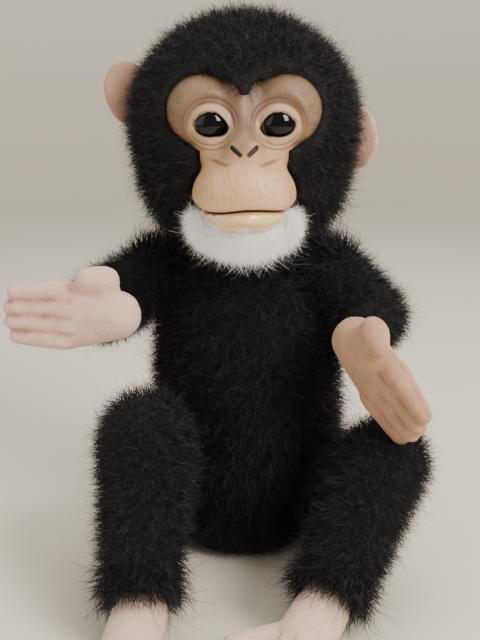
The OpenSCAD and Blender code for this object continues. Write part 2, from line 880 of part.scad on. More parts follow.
// The outline of a spur gear with its first tooth on the X axis
module gear_outline(teeth, module_size, slack = 0.16) {
    radii = gear_radii(teeth, module_size);
    last = len(radii) - 1;
    half = [for (r = radii) tooth_half(teeth, module_size, r, slack)];
    polygon([for (t = [0 : teeth - 1]) each [
        for (k = [0 : last]) radii[k] * [cos(t * 360 / teeth - half[k]), sin(t * 360 / teeth - half[k])],
        for (k = [last : -1 : 0]) radii[k] * [cos(t * 360 / teeth + half[k]),
                                             sin(t * 360 / teeth + half[k])]]]);
}

// The two side arms of the jaw, or the room that they need
module jaw_arms(grow = 0) {
    both_sides() along_x([jaw_arm_x[0] - grow, jaw_arm_x[1] + grow]) hull() {
        translate(jaw_axis) circle(hub_r - 1 + grow, $fn = soft_fn);
        translate(jaw_front) circle(2.5 + grow, $fn = soft_fn);
    }
}

// Outline of the bow that joins the arms at the front
module jaw_bow(grow = 0) {
    bow_x = jaw_arm_x[1] - 0.5;
    offset(delta = grow) difference() {
        hull() {
            translate([0, jaw_front[0] - 6]) scale([bow_x, 8]) circle(1, $fn = soft_fn);
            translate([-bow_x, jaw_front[0]]) square([2 * bow_x, 2]);
        }
        translate([0, jaw_front[0] - 2]) scale([bow_x - 4, 8]) circle(1, $fn = soft_fn);
    }
}

module lower_jaw() {
    color("ivory") on_neck() difference() {
        union() {
            rod_x(jaw_axis, [-hub_x, hub_x], hub_r);
            jaw_arms();
            translate([0, 0, mouth_z - 7.5]) linear_extrude(3) jaw_bow();
            along_x(sector_x) translate(jaw_axis) rotate(train_angle) intersection() {
                gear_outline(sector_teeth, sector_module);
                polygon([[0, 0], 2 * sector_r * [cos(sector_half), -sin(sector_half)], 3 * sector_r * [1, 0],
                         2 * sector_r * [cos(sector_half), sin(sector_half)]]);
            }
        }
        rod_x(jaw_axis, [-far, far], pin_r + running_gap);
    }
}

module jaw_form(inset) {
    hull() {
        both_sides() ellipsoid([9, -44, mouth_z - 3], [12 - inset, 22 - inset, 9 - inset]);
        ellipsoid([0, -50, mouth_z - 3], [10 - inset, 21 - inset, 9 - inset]);
    }
}

module lower_lip() {
    color([0.85, 0.62, 0.42]) on_neck() sewn() difference() {
        intersection() {
            jaw_form(0);
            block([-far, -far, -far], [far, -33, mouth_z - mouth_gap]);
        }
        jaw_form(vinyl_t);
        jaw_arms(0.1);
        translate([0, 0, mouth_z - 7.6]) linear_extrude(3.2) jaw_bow(0.1);
    }
}

// The white beard: it wraps the chin and both ends of the mouth
module chin_fur() {
    color(fur_white) on_neck() sewn() difference() {
        intersection() {
            hull() {
                both_sides() ellipsoid([20, -39, mouth_z - 10], [10, 10, 9.5]);
                ellipsoid([0, -50, mouth_z - 15], [17, 12, 9]);
            }
            block([-far, -far, -far], [far, -27, mouth_z - 2]);
        }
        jaw_form(0);
        both_sides() block([jaw_arm_x[0] - 0.5, -far, mouth_z - 9], [jaw_arm_x[1] + 0.5, far, far]);
    }
}

module drive_gear() {
    color("white") on_neck() difference() {
        union() {
            along_x(pinion_x) translate(gear_axis)
                rotate(train_angle + 180 + 180 / pinion_teeth) gear_outline(pinion_teeth, sector_module);
            along_x(wheel_x) translate(gear_axis)
                rotate(motor_angle) gear_outline(wheel_teeth, wheel_module);
        }
        rod_x(gear_axis, [-far, far], pin_r + running_gap);
    }
}

module motor_pinion() {
    color("gold") on_neck() {
        along_x(motor_pinion_x) translate(motor_axis)
            rotate(motor_angle + 180 + 180 / motor_teeth) gear_outline(motor_teeth, wheel_module);
        rod_x(motor_axis, [cheek_a[0] + 0.1, motor_pinion_x[0]], 1);
    }
}

// ---- limbs ----

// The unstuffed ring of fabric that lets a limb swing and lift
module joint_web(joint, ball_r, toward) {
    color(fur_black) intersection() {
        difference() {
            translate(joint) sphere(ball_r + socket_gap + web_t, $fn = round_fn);
            translate(joint) sphere(ball_r + socket_gap, $fn = round_fn);
        }
        block([-far, -far, -far], [joint[0] - toward, far, far]);
    }
}

module arm_sleeve(elbow, wrist) {
    cuff = wrist - cuff_back * (wrist - elbow) / norm(wrist - elbow);
    color(fur_black) sewn() difference() {
        union() {
            stuffed_tube(shoulder, shoulder_r, elbow, elbow_r);
            stuffed_tube(elbow, elbow_r, cuff, cuff_r);
        }
        translate(wrist) sphere(wrist_r + socket_gap, $fn = hollow_fn);
    }
}

module leg_sleeve(knee, ankle) {
    cuff = ankle - hem_back * (ankle - knee) / norm(ankle - knee);
    color(fur_black) sewn() difference() {
        union() {
            stuffed_tube(hip, hip_r, knee, knee_r);
            stuffed_tube(knee, knee_r, cuff, hem_r);
        }
        translate(ankle) sphere(heel_r + socket_gap, $fn = hollow_fn);
    }
}

// A stuffed mitten hand: fingers along +X, thumb towards +Y, palm facing +Z
module hand() {
    thick = 7;
    sewn() union() {
        hull() {
            sphere(wrist_r, $fn = soft_fn);
            ellipsoid([hand_l * 0.4, 0, 0], [12, 19, thick + 1], soft_fn);
        }
        for (finger = [-1.5 : 1.5])
            hull() {
                ellipsoid([hand_l * 0.45, finger * 9.2, 0], [8, 5.6, thick], small_fn);
                ellipsoid([hand_l - 6 - abs(finger) * 2.5, finger * 7.8, -1], [6, 4.8, thick - 2], small_fn);
            }
        hull() {
            ellipsoid([7, 9, 1], [9, 8, 7], small_fn);
            ellipsoid([6, 20, 4], [9, 7.5, 7.5], small_fn);
        }
        hull() {
            ellipsoid([6, 20, 4], [9, 7.5, 7.5], small_fn);
            ellipsoid([14, 21, 8], [6.5, 6, 5.5], small_fn);
        }
    }
}

// Turns a hand so that its fingers, thumb and palm point these ways
module set_hand(at, fingers, thumb, palm) {
    multmatrix([[fingers[0], thumb[0], palm[0], at[0]],
                [fingers[1], thumb[1], palm[1], at[1]],
                [fingers[2], thumb[2], palm[2], at[2]]]) children();
}

function unit(v) = v / norm(v);

right_fingers = [-1, 0, 0];
right_palm = [0, -1, 0];
left_fingers = unit([0.48, -0.55, -0.7]);
left_palm = unit(cross(left_fingers, cross([-0.7, -0.72, -0.25], left_fingers)));

module right_hand() {
    at = [-right_wrist[0], right_wrist[1], right_wrist[2]];
    color(skin_pink) set_hand(at, right_fingers, [0, 0, 1], right_palm) hand();
}

module left_hand() {
    thumb = cross(left_palm, left_fingers);
    color(skin_pink) set_hand(left_wrist, left_fingers, thumb, left_palm) hand();
}

// A stuffed foot: toes along +X, big toe towards +Y, top facing +Z
module foot(sole) {
    sewn() intersection() {
        union() {
            hull() {
                sphere(heel_r, $fn = soft_fn);
                ellipsoid([foot_l * 0.5, 0, sole + 9], [14, 15, 9], soft_fn);
            }
            for (toe = [-1.5 : 1.5])
                hull() {
                    ellipsoid([foot_l * 0.55, toe * 7, sole + 8], [9, 5, 8], small_fn);
                    ellipsoid([foot_l - 5 + toe * 2, toe * 7.4, sole + 6], [5, 4.4, 6], small_fn);
                }
            hull() {
                ellipsoid([foot_l * 0.3, 7, sole + 9], [10, 8, 9], small_fn);
                ellipsoid([foot_l * 0.68, 27, sole + 9], [8, 7, 8], small_fn);
            }
        }
        block([-far, -far, sole], [far, far, far]);
    }
}

module left_foot() {
    sole = 0.5 - left_ankle[2];
    color(skin_pink) translate(left_ankle) rotate([0, 0, -120]) mirror([0, 1, 0]) foot(sole);
}

module right_foot() {
    sole = 0.5 - right_ankle[2];
    color(skin_pink) mirror([1, 0, 0]) translate(right_ankle) rotate([0, 0, -82]) mirror([0, 1, 0])
        foot(sole);
}

// ---- the nodes ----

torso_front_panel();
torso_back_panel(-1);  // torso_back_panel_right
torso_back_panel(1);  // torso_back_panel_left
seat_panel();
torso_stuffing();
pellet_bag();
back_flap();
hook_strip();
loop_strip();
battery_box();
battery_cover();
battery_cells();
battery_contacts();
circuit_board();
speaker();
speaker_grille();
box_screws();
power_switch();
neck_lead();
neck_ring();
neck_ball();
neck_cable_tie();
neck_cup();
skull_front();
skull_back();
skull_screws();
face_chassis();
chassis_screws();
face_mask();
eye(-1);  // right_eye
eye(1);  // left_eye
eye_washers();
head_fur(-1);  // head_fur_right
head_fur(1);  // head_fur_left
ear(-1);  // right_ear
ear(1);  // left_ear
jaw_motor();
gear_axle();
jaw_pin();
motor_lead();
lower_jaw();
lower_lip();
chin_fur();
drive_gear();
motor_pinion();
mirror([1, 0, 0]) joint_web(shoulder, shoulder_r, 11);  // right_shoulder_web
joint_web(shoulder, shoulder_r, 11);  // left_shoulder_web
mirror([1, 0, 0]) arm_sleeve(right_elbow, right_wrist);  // right_arm_sleeve
arm_sleeve(left_elbow, left_wrist);  // left_arm_sleeve
right_hand();
left_hand();
mirror([1, 0, 0]) leg_sleeve(right_knee, right_ankle);  // right_leg_sleeve
leg_sleeve(left_knee, left_ankle);  // left_leg_sleeve
right_foot();
left_foot();
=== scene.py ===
import json
import math

import bmesh
import bpy
import numpy as np
from mathutils import Matrix, Vector, noise


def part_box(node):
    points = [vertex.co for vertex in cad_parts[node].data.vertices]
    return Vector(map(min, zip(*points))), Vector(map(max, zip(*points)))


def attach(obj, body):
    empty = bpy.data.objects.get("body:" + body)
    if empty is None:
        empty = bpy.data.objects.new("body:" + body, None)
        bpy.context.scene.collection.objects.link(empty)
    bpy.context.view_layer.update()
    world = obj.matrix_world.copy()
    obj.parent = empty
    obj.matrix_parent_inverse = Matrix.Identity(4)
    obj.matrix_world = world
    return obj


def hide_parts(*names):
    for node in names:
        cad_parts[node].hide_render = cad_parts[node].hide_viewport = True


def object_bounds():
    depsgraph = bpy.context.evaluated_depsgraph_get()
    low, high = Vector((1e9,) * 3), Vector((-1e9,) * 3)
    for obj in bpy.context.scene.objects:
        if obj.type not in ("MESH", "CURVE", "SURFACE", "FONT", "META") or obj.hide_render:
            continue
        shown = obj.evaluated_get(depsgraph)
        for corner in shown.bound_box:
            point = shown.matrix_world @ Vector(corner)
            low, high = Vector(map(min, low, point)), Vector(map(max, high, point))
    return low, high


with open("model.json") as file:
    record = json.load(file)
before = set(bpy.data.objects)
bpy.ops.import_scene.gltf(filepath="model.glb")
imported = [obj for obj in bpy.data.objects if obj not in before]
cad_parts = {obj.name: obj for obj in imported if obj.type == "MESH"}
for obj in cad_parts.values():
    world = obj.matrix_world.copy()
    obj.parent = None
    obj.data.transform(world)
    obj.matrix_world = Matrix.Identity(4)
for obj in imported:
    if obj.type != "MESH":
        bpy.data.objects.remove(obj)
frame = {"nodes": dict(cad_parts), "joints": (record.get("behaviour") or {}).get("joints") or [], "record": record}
cad_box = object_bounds()

# ---- The view ----
# The camera looks at the seated toy from in front and a little above, close
# enough to cut off the feet and the tips of one hand.
VIEW_TILT = math.radians(15)
VIEW_DISTANCE = 0.52
VIEW_AT = Vector((-0.0022, -0.020, 0.138))

camera = bpy.data.objects.new("camera", bpy.data.cameras.new("camera"))
camera.data.lens = 52
camera.data.sensor_width = 36
camera.location = VIEW_AT + VIEW_DISTANCE * Vector((0, -math.cos(VIEW_TILT), math.sin(VIEW_TILT)))
camera.rotation_euler = (math.pi / 2 - VIEW_TILT, 0, 0)
bpy.context.scene.collection.objects.link(camera)
bpy.context.scene.camera = camera

# ---- The studio ----
# A round table of cream paper in a room of the same colour, whose wall shades
# nothing. A large window light stands to the right, and a weaker one fills from
# the left.
TABLE_R = 1.4
BEND_R = 0.8
WALL_TOP = 2.6
ROUND_STEPS = 96
BEND_STEPS = 24
GLOW_HEIGHT = 0.55


def cream_paper(name, glow):
    """Matt paper, with a little light of its own where the lamps don't reach."""
    paper = bpy.data.materials.new(name)
    paper.use_nodes = True
    shader = paper.node_tree.nodes["Principled BSDF"]
    shader.inputs["Base Color"].default_value = (0.84, 0.755, 0.62, 1)
    shader.inputs["Roughness"].default_value = 0.85
    if glow:
        links = paper.node_tree.links.new
        place = paper.node_tree.nodes.new("ShaderNodeTexCoord")
        height = paper.node_tree.nodes.new("ShaderNodeSeparateXYZ")
        fade = paper.node_tree.nodes.new("ShaderNodeMapRange")
        fade.interpolation_type = "SMOOTHSTEP"
        fade.inputs["From Max"].default_value = GLOW_HEIGHT
        fade.inputs["To Max"].default_value = glow
        tint = paper.node_tree.nodes.new("ShaderNodeVectorMath")
        tint.operation = "SCALE"
        tint.inputs[0].default_value = (1.0, 0.93, 0.83)
        links(place.outputs["Object"], height.inputs[0])
        links(height.outputs["Z"], fade.inputs["Value"])
        links(fade.outputs["Result"], tint.inputs["Scale"])
        links(tint.outputs[0], shader.inputs["Emission Color"])
        shader.inputs["Emission Strength"].default_value = 1.0
    return paper


def turned_sheet(name, profile, paper):
    """A sheet turned round the upright axis from points of radius and height."""
    mesh = bpy.data.meshes.new(name)
    points = []
    for radius, height in profile:
        for step in range(ROUND_STEPS):
            turn = 2 * math.pi * step / ROUND_STEPS
            points.append((radius * math.cos(turn), radius * math.sin(turn), height))
    faces = []
    for row in range(len(profile) - 1):
        for step in range(ROUND_STEPS):
            low, following = row * ROUND_STEPS, (step + 1) % ROUND_STEPS
            high = low + ROUND_STEPS
            faces.append((low + step, low + following, high + following, high + step))
    mesh.from_pydata(points, [], faces)
    mesh.shade_smooth()
    sheet = bpy.data.objects.new(name, mesh)
    bpy.context.scene.collection.objects.link(sheet)
    mesh.materials.append(paper)
    return sheet


turned_sheet("table", [(TABLE_R, 0.0), (0.4, 0.0), (0.001, 0.0)], cream_paper("table_paper", 0.0))
room_side = [(TABLE_R + BEND_R, WALL_TOP)]
for step in range(BEND_STEPS, -1, -1):
    turn = math.pi / 2 * step / BEND_STEPS
    room_side.append((TABLE_R + BEND_R * math.sin(turn), BEND_R * (1 - math.cos(turn))))
room = turned_sheet("room", room_side, cream_paper("room_paper", 0.19))
room.visible_diffuse = False
room.visible_glossy = False
room.visible_shadow = False
room.visible_transmission = False


def add_window(name, place, width, height, power, tint):
    """A soft rectangular light that faces the toy's chest."""
    lamp = bpy.data.lights.new(name, "AREA")
    lamp.shape = "RECTANGLE"
    lamp.size = width
    lamp.size_y = height
    lamp.energy = power
    lamp.color = tint
    holder = bpy.data.objects.new(name, lamp)
    holder.location = place
    to_toy = Vector((0, -0.03, 0.18)) - Vector(place)
    holder.rotation_euler = to_toy.to_track_quat("-Z", "Y").to_euler()
    holder.visible_camera = False
    bpy.context.scene.collection.objects.link(holder)


add_window("window_light", (0.85, -0.80, 0.95), 0.5, 0.7, 23, (1.0, 0.97, 0.93))
add_window("fill_light", (-1.1, -0.6, 0.7), 1.2, 1.2, 6, (1.0, 0.97, 0.92))
add_window("top_light", (0.1, 0.25, 1.3), 1.3, 1.0, 12, (1.0, 0.98, 0.94))

sky = bpy.data.worlds.new("studio_air")
sky.use_nodes = True
sky.node_tree.nodes["Background"].inputs["Color"].default_value = (1.0, 0.97, 0.92, 1)
sky.node_tree.nodes["Background"].inputs["Strength"].default_value = 0.42
bpy.context.scene.world = sky

# ---- The face ----
# One moulding of soft tan vinyl, about 2 mm thick, cast hollow and painted:
# two brow lobes like spectacles, lids, a bridge, a flat nose and a full muzzle
# that ends at the mouth. The fur is glued up to its edge all round.
MM = 0.001
NECK = np.array([(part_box("neck_ball")[0][k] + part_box("neck_ball")[1][k]) / 2 for k in (0, 1)] + [0.0])
for joint in frame["joints"]:
    if joint["name"] == "neck_nod":
        NECK = np.array(joint["pos_m"])
EYE_X = (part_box("left_eye")[0][0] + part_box("left_eye")[1][0]) / 2 / MM
EYE_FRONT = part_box("left_eye")[0][1] / MM
EYE_Z = (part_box("left_eye")[0][2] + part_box("left_eye")[1][2]) / 2 / MM - NECK[2] / MM
EYE_RADIUS = 11.0
EYE_Y = EYE_FRONT + EYE_RADIUS
MOUTH_Z = 25.2
VINYL_T = 2.0


def ellipsoid(p, centre, radii):
    """Distance from points p to an ellipsoid, in millimetres, good near its skin."""
    q = (p - np.array(centre)) / np.array(radii)
    near = np.linalg.norm(q, axis=-1)
    slope = np.linalg.norm(q / np.array(radii), axis=-1)
    return near * (near - 1) / np.maximum(slope, 1e-9)


def rod(p, start, end, radius_start, radius_end):
    """Distance from points p to a rod with round ends and a radius at each end."""
    start = np.array(start, float)
    run = np.array(end, float) - start
    share = np.clip(((p - start) @ run) / (run @ run), 0, 1)
    radius = radius_start + (radius_end - radius_start) * share
    return np.linalg.norm(p - start - share[..., None] * run, axis=-1) - radius


def join(a, b, soft):
    """The union of two forms with a fillet of size soft between them."""
    share = np.clip(0.5 + 0.5 * (b - a) / soft, 0, 1)
    return b + (a - b) * share - soft * share * (1 - share)


def carve(a, b, soft):
    """Form a with form b cut out of it, and the edge rounded by soft."""
    return -join(-a, b, soft)


def bump(value, middle, width):
    """A round bump of height 1 at middle."""
    return np.exp(-(((value - middle) / width) ** 2))


def ramp(value, low, high):
    """0 below low, 1 above high, and smooth between them."""
    share = np.clip((value - low) / (high - low), 0, 1)
    return share * share * (3 - 2 * share)


def mouth_line(x):
    """Height of the parting of the lips across the muzzle."""
    return MOUTH_Z - 0.6 + 0.9 * np.sin(x / 7.0 + 0.8) + 3.2 * ramp(np.abs(x), 19, 29)


def eye_almond(x, z):
    """Below 0 inside the almond opening of an eye, in millimetres. x is outwards from the middle."""
    across = x - EYE_X
    up = z - EYE_Z
    half = 9.3
    inner_dip = -1.6 * ramp(-across, 2, 9)
    lid_up = 6.6 * np.maximum(1 - np.abs(across / half) ** 2.1, 0) ** 0.62
    lid_low = 5.9 * np.maximum(1 - np.abs(across / half) ** 2.1, 0) ** 0.62
    top = up - inner_dip - lid_up
    bottom = -(up - inner_dip) - lid_low
    return np.maximum(np.maximum(top, bottom), np.abs(across) - half)


def face_surface(p):
    """Distance to the face's outer skin from points p, measured from the neck ball's centre."""
    q = p.copy()
    side = np.sign(p[..., 0])
    q[..., 0] = np.abs(p[..., 0])
    x, y, z = q[..., 0], q[..., 1], q[..., 2]
    form = ellipsoid(q, (0, -24, 60), (27, 22, 30))
    lobe = ellipsoid(q, (20.8, -26, 72), (20.2, 22.0, 19.8))
    form = join(form, lobe, 5)
    socket = ellipsoid(q, (EYE_X + 0.3, EYE_Y - 12.0, EYE_Z + 3.4), (12.6, 9.0, 12.8))
    form = carve(form, socket, 4.5)
    bridge = rod(q, (0, -35, 82), (0, -44.5, 60), 7, 6.5)
    form = join(form, bridge, 7)
    lid = ellipsoid(q, (EYE_X, EYE_Y, EYE_Z + 0.4), (12.7, 12.7, 12.4))
    form = join(form, lid, 1.6)
    muzzle = ellipsoid(q, (9.2, -41, 30.5), (17.8, 26, 16.5))
    muzzle = join(muzzle, ellipsoid(q, (0, -46, 35.5), (19, 26.5, 17)), 8)
    form = join(form, muzzle, 5)
    form = join(form, ellipsoid(q, (0, -53, 55.5), (9.0, 8.5, 6.5)), 8)
    form = join(form, ellipsoid(q, (15, -38, 53), (9, 11, 9)), 7)
    almond = eye_almond(x, z)
    eyeball = ellipsoid(q, (EYE_X, EYE_Y, EYE_Z), (EYE_RADIUS + 0.35,) * 3)
    well = np.maximum(almond, np.minimum(eyeball, y - EYE_Y + 3))
    form = carve(form, well, 0.7)
    nostril = rod(q, (2.2, -62.0, 52.0), (6.3, -59.2, 55.6), 1.0, 1.15)
    form = carve(form, nostril, 0.6)
    return form, side


def face_relief(p):
    """Fine creases and engraved hairs, as a depth into the face in millimetres."""
    side = np.sign(p[:, 0])
    x, y, z = np.abs(p[:, 0]), p[:, 1], p[:, 2]
    across, up = x - EYE_X, z - EYE_Z
    turn = np.arctan2(up + 1.5, across)
    ring = np.hypot(across * 0.97, up * 1.05)
    front = ramp(-y, 30, 36)
    above = ramp(np.sin(turn), -0.15, 0.35)
    depth = 0.55 * bump(ring, 11.6, 0.55) * above
    depth += 0.45 * bump(ring, 13.9, 0.6) * above
    depth += 0.4 * bump(ring, 10.6, 0.6) * ramp(-np.sin(turn), 0.1, 0.6)
    depth += 0.35 * bump(ring, 12.9, 0.7) * ramp(-np.sin(turn), 0.2, 0.8)
    draws = np.random.RandomState(11)
    hairs = np.zeros(len(p))
    for hair in range(230):
        angle = draws.uniform(-0.9, 3.3)
        start = draws.uniform(14.6, 19.5)
        length = draws.uniform(1.6, 4.5)
        curl = draws.uniform(-0.05, 0.05)
        flip = draws.choice((-1, 1))
        off = (turn - angle - curl * (ring - start)) * ring
        stroke = bump(off, 0, 0.17) * ramp(ring, start, start + 0.4)
        stroke *= ramp(-ring, -start - length, -start - length + 1)
        hairs += np.where(side == flip, stroke, 0)
    depth += 0.30 * np.minimum(hairs, 1)
    strokes = np.zeros(len(p))
    signed = p[:, 0]
    for stroke_at in range(170):
        column = draws.uniform(-25, 25)
        high = draws.uniform(30, 47)
        length = draws.uniform(0.4, 1.9)
        lean = 0.012 * column + draws.uniform(-0.1, 0.1)
        off = signed - column - lean * (high - z)
        strokes += bump(off, 0, 0.22) * bump(z, high, length)
    depth += 0.26 * np.minimum(strokes, 1) * ramp(-y, 48, 56)
    fold = bump(z - 0.22 * np.abs(x - 9), 47.0, 0.8) * ramp(x, 5, 10) * ramp(-x, -22, -16)
    depth += 0.5 * fold * ramp(-y, 44, 52)
    return depth * front


FACE_CENTRE = np.array([0.0, -12.0, 52.0])
TURNS = np.linspace(-1.62, 1.62, 286)
RISES = np.linspace(-1.25, 1.12, 238)
turn_grid, rise_grid = np.meshgrid(TURNS, RISES)
face_rays = np.stack([np.sin(turn_grid) * np.cos(rise_grid), -np.cos(turn_grid) * np.cos(rise_grid),
                      np.sin(rise_grid)], axis=-1).reshape(-1, 3)


def reach(rays, centre, surface, near, far, steps=46):
    """How far each ray runs from centre before it leaves the form for good."""
    spans = np.linspace(far, near, steps)
    outer = np.full(len(rays), float(near))
    found = np.zeros(len(rays), bool)
    for span in spans:
        inside = surface(centre + rays * span) < 0
        fresh = inside & ~found
        outer[fresh] = span
        found |= inside
    low, high = outer, outer + (far - near) / (steps - 1)
    for _ in range(12):
        middle = (low + high) / 2
        inside = surface(centre + rays * middle[:, None]) < 0
        low = np.where(inside, middle, low)
        high = np.where(inside, high, middle)
    return np.where(found, (low + high) / 2, near)


def face_with_mouth(p):
    """The face's form, ended at the mouth with a rounded lip."""
    form, _ = face_surface(p)
    return -join(-form, p[..., 2] - mouth_line(p[..., 0]), 2.4)


face_far = reach(face_rays, FACE_CENTRE, face_with_mouth, 8, 70)
face_points = FACE_CENTRE + face_rays * face_far[:, None]
face_points -= face_rays * face_relief(face_points)[:, None]


def face_edge(x, z):
    """Below 0 inside the face's outline from the front, in millimetres."""
    x = np.abs(x)
    lobe = np.hypot(x - 20.2, z - 73) - 19.4
    centre = np.maximum(x - 14, z - 80)
    cheek = x - (22 + 5.5 * ramp(-z, -46, -36)) - 3 * ramp(z, 52, 60)
    cheek = np.maximum(cheek, z - 66)
    return np.minimum(np.minimum(lobe, centre), cheek)


def grid_mesh(name, points, rows, columns, keep):
    """A quad mesh from a grid of points in millimetres, with only the faces whose corners are kept."""
    corner = np.arange(rows * columns).reshape(rows, columns)
    quads = np.stack([corner[:-1, :-1], corner[:-1, 1:], corner[1:, 1:], corner[1:, :-1]], axis=-1)
    quads = quads.reshape(-1, 4)
    quads = quads[keep[quads].all(axis=1)]
    used = np.unique(quads)
    lookup = np.full(rows * columns, -1)
    lookup[used] = np.arange(len(used))
    mesh = bpy.data.meshes.new(name)
    mesh.from_pydata((points[used] * MM).tolist(), [], lookup[quads].tolist())
    mesh.shade_smooth()
    return mesh, used


face_keep = (face_edge(face_points[:, 0], face_points[:, 2]) < 0.8) & (face_points[:, 1] < -18)
face_mesh, face_used = grid_mesh("face", face_points + NECK / MM, len(RISES), len(TURNS), face_keep)


def paint_points(mesh, name, colours):
    """Stores one linear colour for each vertex."""
    layer = mesh.color_attributes.new(name, "FLOAT_COLOR", "POINT")
    filled = np.column_stack([colours, np.ones(len(colours))])
    layer.data.foreach_set("color", filled.astype(np.float32).ravel())


def linear(red, green, blue):
    """A paint colour given as it looks, from 0 to 255, as linear light."""
    return (np.array([red, green, blue]) / 255) ** 2.2


def wash(colours, paint, strength):
    """Lays a paint over colours, as strongly as strength says at each point."""
    return colours + (paint - colours) * np.clip(strength, 0, 1)[:, None]


face_at = face_points[face_used]
fx, fy, fz = np.abs(face_at[:, 0]), face_at[:, 1], face_at[:, 2]
eye_ring = np.hypot((fx - EYE_X) * 0.97, (fz - EYE_Z) * 1.05)
# The face's colour: the mask's own paint, with painted shade and painted highlights laid over it.
face_paint_and_shading = np.tile(linear(212, 168, 127), (len(face_at), 1))
# Darker grey-brown over the brow lobes: partly the mask's own paint, partly painted shade on the upper face.
face_paint_and_shading = wash(face_paint_and_shading, linear(135, 108, 84), ramp(fz, 56, 66))
# Painted shade in a ring above each eye, where the brow sinks into the socket and the lid folds.
face_paint_and_shading = wash(face_paint_and_shading, linear(120, 92, 70), 0.65 * bump(eye_ring, 14.2, 2.2) * ramp(fz, 48, 62))
# Painted shade between the brow lobes, beside the bridge.
face_paint_and_shading = wash(face_paint_and_shading, linear(112, 84, 62), 0.5 * bump(fx, 7, 4.5) * ramp(fz, 66, 74))
face_paint_and_shading = wash(face_paint_and_shading, linear(196, 160, 128), 0.85 * ramp(-eye_ring, -12.2, -10.8))
# A painted highlight down the ridge of the bridge.
face_paint_and_shading = wash(face_paint_and_shading, linear(190, 170, 148), 0.55 * bump(fx, 0, 1.6) * bump(fz, 76, 7))
face_paint_and_shading = wash(face_paint_and_shading, linear(118, 90, 68), 0.75 * bump(fx, 0, 9.5) * bump(fz, 57.5, 6.0))
# A painted highlight on the rim above each nostril.
face_paint_and_shading = wash(face_paint_and_shading, linear(196, 172, 146), 0.5 * bump(fx, 5.6, 1.7) * bump(fz, 57.0, 1.3))
face_paint_and_shading = wash(face_paint_and_shading, linear(150, 112, 80), 0.5 * ramp(fx, 15, 24) * bump(fz, 51, 7))
face_paint_and_shading = wash(face_paint_and_shading, linear(172, 130, 94), 0.55 * bump(fz, 50, 4) * ramp(-fx, -22, -10))
# The lower muzzle lighter: partly its own paint, partly painted light on the lower face.
face_paint_and_shading = wash(face_paint_and_shading, linear(229, 187, 146), 0.75 * ramp(-fz, -46, -38) * ramp(-fx, -26, -14))
face_paint_and_shading = wash(face_paint_and_shading, linear(170, 128, 92), 0.35 * ramp(fx, 18, 27) * ramp(-fz, -48, -40))
# Darker as the lid creases, engraved hairs and pores run deeper: partly their brown paint, partly painted shade in
# the grooves.
groove_shade_depth = face_relief(face_at)
face_paint_and_shading = wash(face_paint_and_shading, linear(98, 66, 46), 1.6 * groove_shade_depth)
# A dark line along the rim of each eye opening.
eye_rim_line = bump(eye_almond(fx, fz), 0.1, 0.4) * ramp(-fy, 36, 42)
face_paint_and_shading = wash(face_paint_and_shading, linear(34, 24, 20), 0.9 * eye_rim_line)
# Painted shade, near black, inside the nostril pits.
nostril_gap = rod(np.column_stack([fx, fy, fz]), (2.2, -62.0, 52.0), (6.3, -59.2, 55.6), 1.0, 1.15)
face_paint_and_shading = wash(face_paint_and_shading, linear(14, 11, 10), ramp(-nostril_gap, -0.35, 0.0) * ramp(-fy, 50, 54))
lip_drop = fz - mouth_line(face_at[:, 0])
face_paint_and_shading = wash(face_paint_and_shading, linear(86, 44, 30), 0.9 * ramp(-lip_drop, -0.9, -0.1))
paint_points(face_mesh, "paint", face_paint_and_shading)


def new_material(name, roughness, coat=0.0, sheen=0.0):
    """A material with a Principled shader, and its node tree's parts."""
    material = bpy.data.materials.new(name)
    material.use_nodes = True
    tree = material.node_tree
    shader = tree.nodes["Principled BSDF"]
    shader.inputs["Roughness"].default_value = roughness
    shader.inputs["Coat Weight"].default_value = coat
    shader.inputs["Sheen Weight"].default_value = sheen
    return material, tree, shader


def add_node(tree, kind, **settings):
    """A shader or geometry node with some of its settings made."""
    made = tree.nodes.new(kind)
    for key, value in settings.items():
        setattr(made, key, value)
    return made


def grain_group():
    """Fine mottling: breaks up a colour and gives a height, from one noise."""
    tree = bpy.data.node_groups.new("mottling", "ShaderNodeTree")
    tree.interface.new_socket("Colour", in_out="INPUT", socket_type="NodeSocketColor")
    for socket, value in (("Size", 400.0), ("Strength", 0.1)):
        made = tree.interface.new_socket(socket, in_out="INPUT", socket_type="NodeSocketFloat")
        made.default_value = value
    tree.interface.new_socket("Colour", in_out="OUTPUT", socket_type="NodeSocketColor")
    tree.interface.new_socket("Height", in_out="OUTPUT", socket_type="NodeSocketFloat")
    entry = add_node(tree, "NodeGroupInput")
    leave = add_node(tree, "NodeGroupOutput")
    place = add_node(tree, "ShaderNodeTexCoord")
    spots = add_node(tree, "ShaderNodeTexNoise")
    spots.inputs["Detail"].default_value = 5
    shade = add_node(tree, "ShaderNodeMapRange")
    shade.inputs["From Min"].default_value = 0.3
    shade.inputs["From Max"].default_value = 0.7
    darker = add_node(tree, "ShaderNodeMath", operation="SUBTRACT")
    darker.inputs[0].default_value = 1.0
    lighter = add_node(tree, "ShaderNodeMath", operation="ADD")
    lighter.inputs[0].default_value = 1.0
    mix = add_node(tree, "ShaderNodeVectorMath", operation="MULTIPLY")
    join_link = tree.links.new
    join_link(place.outputs["Object"], spots.inputs["Vector"])
    join_link(entry.outputs["Size"], spots.inputs["Scale"])
    join_link(spots.outputs["Fac"], shade.inputs["Value"])
    join_link(entry.outputs["Strength"], darker.inputs[1])
    join_link(entry.outputs["Strength"], lighter.inputs[1])
    join_link(darker.outputs[0], shade.inputs["To Min"])
    join_link(lighter.outputs[0], shade.inputs["To Max"])
    join_link(entry.outputs["Colour"], mix.inputs[0])
    join_link(shade.outputs["Result"], mix.inputs[1])
    join_link(mix.outputs["Vector"], leave.inputs["Colour"])
    join_link(spots.outputs["Fac"], leave.inputs["Height"])
    return tree


